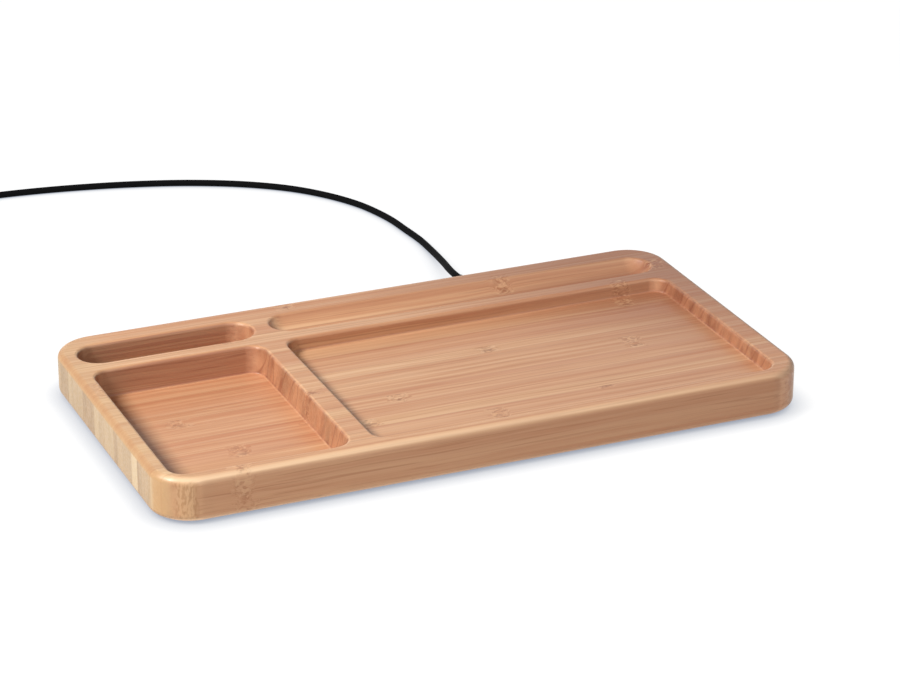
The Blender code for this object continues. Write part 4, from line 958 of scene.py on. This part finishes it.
def make_screws(steel):
    """Countersunk self-tapping screws: a turned head and core, with a thread as a ridge that winds up it."""
    steps = 8
    turns = int((SCREW_LENGTH - SCREW_HEAD_DEPTH - SCREW_TIP) / THREAD_PITCH)
    start = SCREW_HEAD_DEPTH * THREAD_START_SHARE
    height = np.linspace(start, SCREW_LENGTH - SCREW_TIP, turns * steps)[:, None]
    turn = tau * np.arange(SCREW_SIDES) / SCREW_SIDES
    phase = (height / THREAD_PITCH - turn / tau) % 1
    core = SCREW_SHANK_RADIUS - THREAD_DEPTH
    ridge = core + THREAD_DEPTH * np.clip(1 - abs(phase - 0.5) * THREAD_STEEPNESS, 0, 1)
    height = np.broadcast_to(BOTTOM + height, ridge.shape)
    thread = np.stack([ridge * np.cos(turn), ridge * np.sin(turn), height], axis=-1)
    radius = np.append(SCREW_HEAD_RADIUS - np.array(SCREW_RIM_INSETS), core)
    depth = np.append(SCREW_RIM_DEPTHS, SCREW_HEAD_DEPTH)
    head = turned_rings(radius, BOTTOM + depth, SCREW_SIDES)
    radius_share, tip_share = SCREW_SHOULDER_SHARES
    radius = [core * radius_share, SCREW_TIP_RADIUS]
    depth = np.array([SCREW_LENGTH - SCREW_TIP * tip_share, SCREW_LENGTH])
    tip = turned_rings(radius, BOTTOM + depth, SCREW_SIDES)
    mesh = carve(ring_mesh("screw", np.concatenate([head, thread, tip])), [cross_rings()])
    for name, spot in zip(SCREWS, screw_places()):
        own = mesh.copy()
        own.transform(Matrix.Translation((spot.x, spot.y, 0)))
        place(f"steel_{name}", own, steel, "tray", "screw_steel", [name])


def smooth_path(points, per_stretch):
    """A centripetal Catmull-Rom curve through points: between two of them, three linear blends of
    neighbours, then two, then one, by the square roots of the stretches' lengths."""
    points = np.asarray(points, float)
    padded = np.vstack([2 * points[0] - points[1], points, 2 * points[-1] - points[-2]])
    a, b, c, d = (padded[i : len(padded) - 3 + i, None] for i in range(4))
    t1 = np.sqrt(np.linalg.norm(b - a, axis=2, keepdims=True))
    t2 = t1 + np.sqrt(np.linalg.norm(c - b, axis=2, keepdims=True))
    t3 = t2 + np.sqrt(np.linalg.norm(d - c, axis=2, keepdims=True))
    t = t1 + (t2 - t1) * (np.arange(per_stretch) / per_stretch)[None, :, None]
    ab = a + (b - a) * t / t1
    bc = b + (c - b) * (t - t1) / (t2 - t1)
    cd = c + (d - c) * (t - t2) / (t3 - t2)
    abc = ab + (bc - ab) * t / t2
    bcd = bc + (cd - bc) * (t - t1) / (t3 - t1)
    path = abc + (bcd - abc) * (t - t1) / (t2 - t1)
    return np.vstack([path.reshape(-1, 3), points[-1]])


def even_path(path, count):
    """The same path with its points spread evenly along it."""
    lengths = np.concatenate([[0], np.cumsum(np.linalg.norm(np.diff(path, axis=0), axis=1))])
    wanted = np.linspace(0, lengths[-1], count)
    return np.stack([np.interp(wanted, lengths, path[:, axis]) for axis in range(3)], axis=1)


def tube_mesh(name, path, radius, sides):
    """A round tube: at each point of the path a circle in the plane of the two directions square to it.
    Its UV map holds metres along it and the share of a turn round it."""
    ahead = np.gradient(path, axis=0)
    ahead /= np.linalg.norm(ahead, axis=1, keepdims=True)
    aside = np.cross(ahead, (0, 0, 1))
    aside /= np.linalg.norm(aside, axis=1, keepdims=True)
    over = np.cross(aside, ahead)
    turn = tau * np.arange(sides) / sides
    circle = np.cos(turn)[None, :, None] * aside[:, None] + np.sin(turn)[None, :, None] * over[:, None]
    mesh = ring_mesh(name, path[:, None] + radius * circle)
    lengths = np.concatenate([[0], np.cumsum(np.linalg.norm(np.diff(path, axis=0), axis=1))])
    corner = np.empty(len(mesh.loops), int)
    mesh.loops.foreach_get("vertex_index", corner)
    uv = np.stack([lengths[corner // sides], (corner % sides) / sides], axis=1)
    mesh.uv_layers.new(name="along").data.foreach_set("uv", uv.astype(np.float32).ravel())
    return mesh


def coil_path():
    """The spare length: three turns in along the desk, up a layer in half a turn, out on top and off."""
    pitch = 2 * CORD_RADIUS + COIL_GAP
    lower = COIL_LOWER_TURNS * COIL_LOOP_POINTS
    climb = COIL_LOOP_POINTS // 2
    upper = round(COIL_UPPER_TURNS * COIL_LOOP_POINTS)
    step = np.arange(lower + climb + upper + 1)
    angle = pi / 2 + tau * step / COIL_LOOP_POINTS
    up = np.clip((step - lower) / climb, 0, 1)
    inward = np.minimum(step, lower) / COIL_LOOP_POINTS
    outward_turns = np.maximum(step - lower - climb, 0) / COIL_LOOP_POINTS
    radius = COIL_OUTER - pitch * inward + pitch * outward_turns - COIL_CLIMB_DRAW * np.sin(pi * up)
    from_tie = (angle + pi / 2 + pi) % tau - pi
    lift = (TIE_THICKNESS + SEAT_GAP) * np.exp(-((from_tie / TIE_RISE_ANGLE) ** 2))
    height = CORD_RADIUS + pitch * up * up * (3 - 2 * up) + lift
    x = COIL_CENTRE[0] + radius * np.cos(angle)
    y = COIL_CENTRE[1] + radius * np.sin(angle)
    turns = np.stack([x, y, height], axis=1)
    lead_in = [(COIL_CENTRE[0] + share * COIL_LEAD_IN, y[0], CORD_RADIUS) for share in (1, 0.5)]
    low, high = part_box("usb_grip")
    along = np.arange(1, COIL_TAIL_POINTS + 1) / COIL_TAIL_POINTS
    down = np.clip(np.interp(along, COIL_TAIL_FALL_SHARES, (0, 1)), 0, 1)
    fall = height[-1] + ((low.z + high.z) / 2 - height[-1]) * down * down * (3 - 2 * down)
    tail_x = np.full_like(along, (low.x + high.x) / 2)
    tail = np.stack([tail_x, COIL_CENTRE[1] - COIL_TAIL * along, fall], axis=1)
    return np.vstack([lead_in, turns, tail])


def make_cord(pvc):
    """The whole cord as one tube: out of the plug's relief, over the desk to the coil and the far plug."""
    start = (PORT.x, CORD_START, PORT.z)
    straight = (PORT.x, CORD_START + CORD_RADIUS, PORT.z)
    coil = coil_path()
    before_coil = (coil[0][0] + 2 * CORD_RADIUS, coil[0][1], CORD_RADIUS)
    run = smooth_path([start, straight, *CORD_ROUTE, before_coil, coil[0]], per_stretch=12)
    run[:, 2] = np.maximum(run[:, 2], CORD_RADIUS)
    wound = smooth_path(coil, per_stretch=6)
    path = even_path(np.vstack([run[:-1], wound]), round(CORD_LENGTH / CORD_SPACING))
    mesh = tube_mesh("lead_cord", path, CORD_RADIUS, CORD_SIDES)
    return place("lead_cord", mesh, pvc, "lead", "cord_pvc", ["cord_run", "cord_coil"]), path


def relief_rings(low, high):
    """A ribbed strain relief along Y: a cone towards the cord, less a rounded groove behind each rib."""
    share = np.linspace(0, 1, RELIEF_RIBS * RELIEF_STEPS + 1)
    end_radius = CORD_RADIUS + RELIEF_LIP
    cut = np.interp((share * RELIEF_RIBS) % 1, RELIEF_CUT, (0, 1, 1, 0))
    groove = RELIEF_GROOVE * cut * cut * (3 - 2 * cut)
    radius = RELIEF_RADIUS + (end_radius - RELIEF_RADIUS) * share - groove
    rings = along_y(turned_rings(radius, low.y + (high.y - low.y) * share, RELIEF_SIDES))
    return rings + ((low.x + high.x) / 2, 0, (low.z + high.z) / 2)


def grip_rings(low, high, corner):
    """A moulded plug grip along Y: a rounded front, a drawn-in waist and a shoulder that closes on the cord.
    Its half sizes run from place to place and are softened by a bell curve."""
    share = np.linspace(0, 1, GRIP_RINGS)
    size = (high - low) / 2
    spread = np.exp(-((np.arange(-GRIP_SOFTNESS, GRIP_SOFTNESS + 1) / (GRIP_SOFTNESS / 2)) ** 2))
    spread /= spread.sum()
    halves = []
    for shares, half in ((GRIP_BREADTHS, size.x), (GRIP_HEIGHTS, size.z)):
        plain = np.interp(share, GRIP_STATIONS, shares)
        soft = np.convolve(np.pad(plain, GRIP_SOFTNESS, mode="edge"), spread, mode="valid")
        halves.append(half * soft / soft.max())
    rings = along_y(outline_rings(*halves, corner, low.y + 2 * size.y * share, steps=12))
    return rings + ((low.x + high.x) / 2, 0, (low.z + high.z) / 2)


def shell_mesh(low, high):
    """A folded sheet-metal box along Y, open towards its low end: the outer outline out to the mouth, round
    its lip, and the inner outline back."""
    half = (high - low) / 2
    lip = SHEET / 3
    inset = np.array([0.5, 0.0, 0.0, 1.0, 2.0, 3.0, 3.0]) * lip
    from_mouth = [low.y + lip, low.y, low.y, low.y + lip]
    station = np.array([high.y, high.y - lip, *from_mouth, high.y - SHEET])
    corner = np.maximum(USB_SHELL_CORNER - inset, SHEET / 4)
    rings = along_y(outline_rings(half.x - inset, half.z - inset, corner, station, steps=6))
    return ring_mesh("shell", rings + ((low.x + high.x) / 2, 0, (low.z + high.z) / 2))


def box_rings(low, high):
    """A plain block's rings, for a window or a contact strip."""
    half = (Vector(high) - Vector(low)) / 2
    middle = (Vector(high) + Vector(low)) / 2
    corner = half.x * BLOCK_EDGE_SHARE
    return outline_rings(half.x, half.y, corner, [-half.z, half.z], steps=3) + tuple(middle)


def make_plugs(rubber, nickel, gold):
    """Both ends of the lead: grips and reliefs, and the far plug's shell with its windows and contacts."""
    for end, corner in (("plug", GRIP_CORNER), ("usb", USB_GRIP_CORNER)):
        low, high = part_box(f"{end}_grip")
        mesh = ring_mesh("grip", grip_rings(low, high, corner))
        place(f"moulded_{end}_grip", mesh, rubber, "lead", "plug_rubber", [f"{end}_grip"])
        relief = ring_mesh("relief", relief_rings(*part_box(f"{end}_relief")))
        place(f"moulded_{end}_relief", relief, rubber, "lead", "plug_rubber", [f"{end}_relief"])
    low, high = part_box("usb_shell")
    windows = []
    for side in (-1, 1):
        spot = Vector(((low.x + high.x) / 2 + side * USB_WINDOW_ASIDE, low.y + USB_WINDOW_IN, 0))
        half = Vector((USB_WINDOW / 2, USB_WINDOW / 2, 0))
        below = spot - half + Vector((0, 0, low.z - SHEET))
        above = spot + half + Vector((0, 0, high.z + SHEET))
        windows.append(box_rings(below, above))
    shell = carve(shell_mesh(low, high), windows)
    place("usb_sheet_shell", shell, nickel, "lead", "nickel_plate", ["usb_shell"])
    low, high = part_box("usb_tongue")
    for number in range(4):
        spot = Vector(((low.x + high.x) / 2 + (number - 1.5) * CONTACT_SPACING, low.y, low.z))
        strip = box_rings(spot + Vector(CONTACT_LOW), spot + Vector(CONTACT_HIGH))
        place(f"usb_contact_{number + 1}", ring_mesh("contact", strip), gold, "lead", "nickel_plate")


def make_tie(rubber):
    """A rubber strap round the coil's bundle: a flat section with round edges, carried round a rounded
    rectangle, which is drawn out or in by how far each point of the section lies from the outer face."""
    low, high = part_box("cord_tie")
    half = (high - low) / 2
    middle = (high + low) / 2
    section = outline_rings(half.x, TIE_THICKNESS / 2, TIE_THICKNESS / 3, [0], steps=4)[0]
    inset = TIE_THICKNESS / 2 - section[:, 1]
    corner = TIE_CORNER + TIE_THICKNESS - inset
    loops = outline_rings(half.y - inset, half.z - inset, corner, section[:, 0], steps=8)
    mesh = ring_mesh("strap", loops[..., (2, 0, 1)] + tuple(middle), closed=True)
    place("strap", mesh, rubber, "lead", "tie_rubber", ["cord_tie"])


def winding_path():
    """From under the board to the middle, up the stack, out in a flat spiral and back to the board."""
    shield_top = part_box("ferrite_shield")[1].z
    winding_z = shield_top + SEAT_GAP + WIRE_RADIUS
    lead_z = BOARD_LOW.z - SEAT_GAP - WIRE_RADIUS
    pitch = 2 * WIRE_RADIUS + WIRE_GAP
    turn = np.arange(WINDING_TURNS * WINDING_LOOP_POINTS + 1) / WINDING_LOOP_POINTS
    radius = WINDING_INNER + pitch * turn
    height = np.full_like(turn, winding_z)
    spiral = np.stack([radius * np.cos(tau * turn), radius * np.sin(tau * turn), height], axis=1)
    outer = radius[-1]
    below_shares = ((0.7, 1.0), (0.6, 0.7), (0.3, 0.3))
    bore_shares = ((0.1, 0.5, 0.02), (0, 0.1, 0.25), (0, 0, 0.55), (0.1, -0.1, 0.8), (0.3, -0.4, 0.97))
    inside_shares = ((0.2, -0.25), (0.5, -0.5), (0.85, -0.42))
    over_shares = ((0.3, 0), (0.6, 0), (0.85, 0.5), (1.0, 1.0))
    reach = BOARD_LOW.y + PEG_INSET - MODULE.y
    rise = winding_z - lead_z
    drop = winding_z - (BOARD_HIGH.z + SEAT_GAP + WIRE_RADIUS)
    lead_in = [(x * WINDING_INNER, y * reach, lead_z) for x, y in below_shares]
    lead_in += [(x * LEAD_BORE, y * LEAD_BORE, lead_z + up * rise) for x, y, up in bore_shares]
    lead_in += [(x * WINDING_INNER, y * WINDING_INNER, winding_z) for x, y in inside_shares]
    lead_out = [(outer, y * reach, winding_z - down * drop) for y, down in over_shares]
    before = smooth_path([*lead_in, spiral[0]], LEAD_STEPS)
    after = smooth_path([spiral[-1], *lead_out], LEAD_STEPS)
    return np.vstack([before[:-1], spiral, after[1:]]) + (MODULE.x, MODULE.y, 0)


def make_winding_stack(copper, grey_foam):
    """The winding as one tube along its path, and its foam pad: a flat section with round edges, turned."""
    winding = tube_mesh("charging_winding", winding_path(), WIRE_RADIUS, WIRE_SIDES)
    place("charging_winding", winding, copper, "tray", "litz_copper", ["charging_coil"])
    pad_radius = (PAD_HIGH.x - PAD_LOW.x) / 2
    pad_bore = WINDING_INNER - PAD_MARGIN
    thickness = PAD_HIGH.z - PAD_LOW.z
    half_width = (pad_radius - pad_bore) / 2
    section = outline_rings(half_width, thickness / 2, thickness / 3, [0], steps=6)[0]
    rings = turned_rings(pad_bore + half_width + section[:, 0], MODULE.z + section[:, 1], CAVITY_SIDES)
    mesh = ring_mesh("winding_pad", rings + (MODULE.x, MODULE.y, 0), closed=True)
    place("winding_pad", mesh, grey_foam, "tray", "grey_foam", ["coil_pad"])


def seen_rays(tree):
    """1 where a ray comes from the camera, or off gloss or through glass, so that these see white."""
    ray = add(tree, "LightPath", out=None)
    either = add(tree, "Math", LARGER, {0: ray["Is Camera Ray"], 1: ray["Is Glossy Ray"]})
    return add(tree, "Math", LARGER, {0: either, 1: ray["Is Transmission Ray"]})


def make_stage():
    """A white floor that keeps the shadow, white all round, a soft key from the left and a weak fill."""
    floor_mesh = bpy.data.meshes.new("floor")
    corners = [(-1, -1), (1, -1), (1, 1), (-1, 1)]
    corners = [(x * FLOOR_REACH, y * FLOOR_REACH, 0) for x, y in corners]
    floor_mesh.from_pydata(corners, [], [(0, 1, 2, 3)])
    floor = put("floor", floor_mesh)
    paper = bpy.data.materials.new("white_paper")
    tree = empty_tree(paper)
    seen = seen_rays(tree)
    level = add(tree, "MapRange", {}, {"Value": seen, "To Min": FLOOR_WHITE, "To Max": FLOOR_SHARE})
    matt = add(tree, "BsdfDiffuse", {}, {"Color": level})
    open_share = add(tree, "AmbientOcclusion", {"samples": 16}, {"Distance": SHADE_REACH}, "AO")
    shaded = add(tree, "Mix", SHADES, {0: open_share, 6: SHADE_COLOUR, 7: WHITE}, 2)
    strength = add(tree, "Math", TIMES, {0: seen, 1: FLOOR_GLOW})
    glow = add(tree, "Emission", {}, {"Color": shaded, "Strength": strength})
    add(tree, "OutputMaterial", {}, {"Surface": add(tree, "AddShader", {}, {0: matt, 1: glow})})
    floor_mesh.materials.append(paper)

    world = bpy.data.worlds.new("studio")
    bpy.context.scene.world = world
    tree = empty_tree(world)
    seen = seen_rays(tree)
    strength = add(tree, "MapRange", {}, {"Value": seen, "To Min": SKY_LIGHT, "To Max": 1.0})
    tint = add(tree, "Mix", SHADES, {0: seen, 6: SKY_COLOUR, 7: WHITE}, 2)
    sky = add(tree, "Background", {}, {"Color": tint, "Strength": strength})
    add(tree, "OutputWorld", {}, {"Surface": sky})

    for name, (spot, size, watts) in LAMPS.items():
        data = bpy.data.lights.new(name, "AREA")
        data.size = size
        data.energy = watts
        lamp = put(name, data)
        lamp.location = spot
        lamp.rotation_mode = "QUATERNION"
        lamp.rotation_quaternion = (-Vector(spot)).to_track_quat("-Z", "Y")


def make_camera():
    """The view: back from the target by the distance, at the azimuth and elevation, with a slight roll."""
    azimuth = radians(CAMERA_AZIMUTH)
    elevation = radians(CAMERA_ELEVATION)
    roll = radians(CAMERA_ROLL)
    back = Vector((sin(azimuth) * cos(elevation), -cos(azimuth) * cos(elevation), sin(elevation)))
    level = Vector((cos(azimuth), sin(azimuth), 0))
    above = back.cross(level)
    right = cos(roll) * level + sin(roll) * above
    up = cos(roll) * above - sin(roll) * level
    data = bpy.data.cameras.new("camera")
    data.lens = CAMERA_LENS
    data.sensor_width = SENSOR_WIDTH
    data.clip_start = NEAREST_SEEN
    camera = put("camera", data)
    turn = Matrix((right, up, back)).transposed().to_4x4()
    camera.matrix_world = Matrix.Translation(Vector(CAMERA_TARGET) + CAMERA_DISTANCE * back) @ turn
    bpy.context.scene.camera = camera


def finish_nodes(finishes):
    """Gives the solids that stay their materials, by the record's slots."""
    slots = {row["node"]: row["material_slot"] for row in frame["record"]["subparts"]}
    for name, node in frame["nodes"].items():
        if slots[name] in finishes:
            node.data.materials.clear()
            node.data.materials.append(finishes[slots[name]])


make_camera()
bpy.context.scene.view_settings.view_transform = "Standard"

# PVC reads nearly black and dull on the cord and a little glossier on the plugs, silicone smooth and dull,
# nickel pale and bright, and the gold flash warm. Nitrile feet are dark and dead matt, the ABS cover has a
# faint sheen, zinc is bluish and greyer than nickel, and nylon is milky. Ferrite, capacitors and pressed
# iron powder are speckled, and epoxy chips are fine-grained and charcoal
jacket = moulded("pvc_cord_jacket", "#0A0A0B", "#070708", 0.72, 0.5, 0.01, gloss=0.05)
plug_skin = moulded("soft_pvc_plug", "#121213", "#0D0D0E", 0.52, 0.25, 0.02, gloss=0.25)
nickel = plated("bright_nickel_plate", "#B4B3AE", 0.24, 0.15)
gold = plated("gold_flash_contacts", "#D9B566", 0.22, 0.15)
cord, cord_line = make_cord(jacket)
make_plugs(plug_skin, nickel, gold)
make_tie(moulded("silicone_strap", "#121212", "#0D0D0D", 0.60, 0.4, 0.02, gloss=0.25))

make_tray(bamboo())
make_feet(moulded("nitrile_rubber_feet", "#1D1D1D", "#141414", 0.78, 0.3, 0.03))
make_cover(moulded("abs_cover", "#2A2A2E", "#232326", 0.55, 0.35, 0.03))
make_screws(plated("zinc_plated_steel", "#B7B9BB", 0.32, 0.2))
make_winding_stack(stranded_copper(), foam())
finish_nodes(
    {
        "ferrite": fired_ceramic("sintered_ferrite", "#434447", "#323336", 0.5),
        "white_plastic": moulded("natural_nylon", "#E3E2DC", "#D6D5CF", 0.5, 0.3, 0.02),
        "board_green": solder_mask(),
        "chip_black": moulded("moulded_epoxy", "#212225", "#191A1C", 0.5, 0.12, 0.01),
        "ceramic_tan": fired_ceramic("chip_capacitor_ceramic", "#C4A67C", "#A98B63", 0.42),
        "core_grey": fired_ceramic("pressed_iron_powder", "#55575A", "#3F4143", 0.6),
        "nickel_plate": nickel,
    }
)
make_stage()
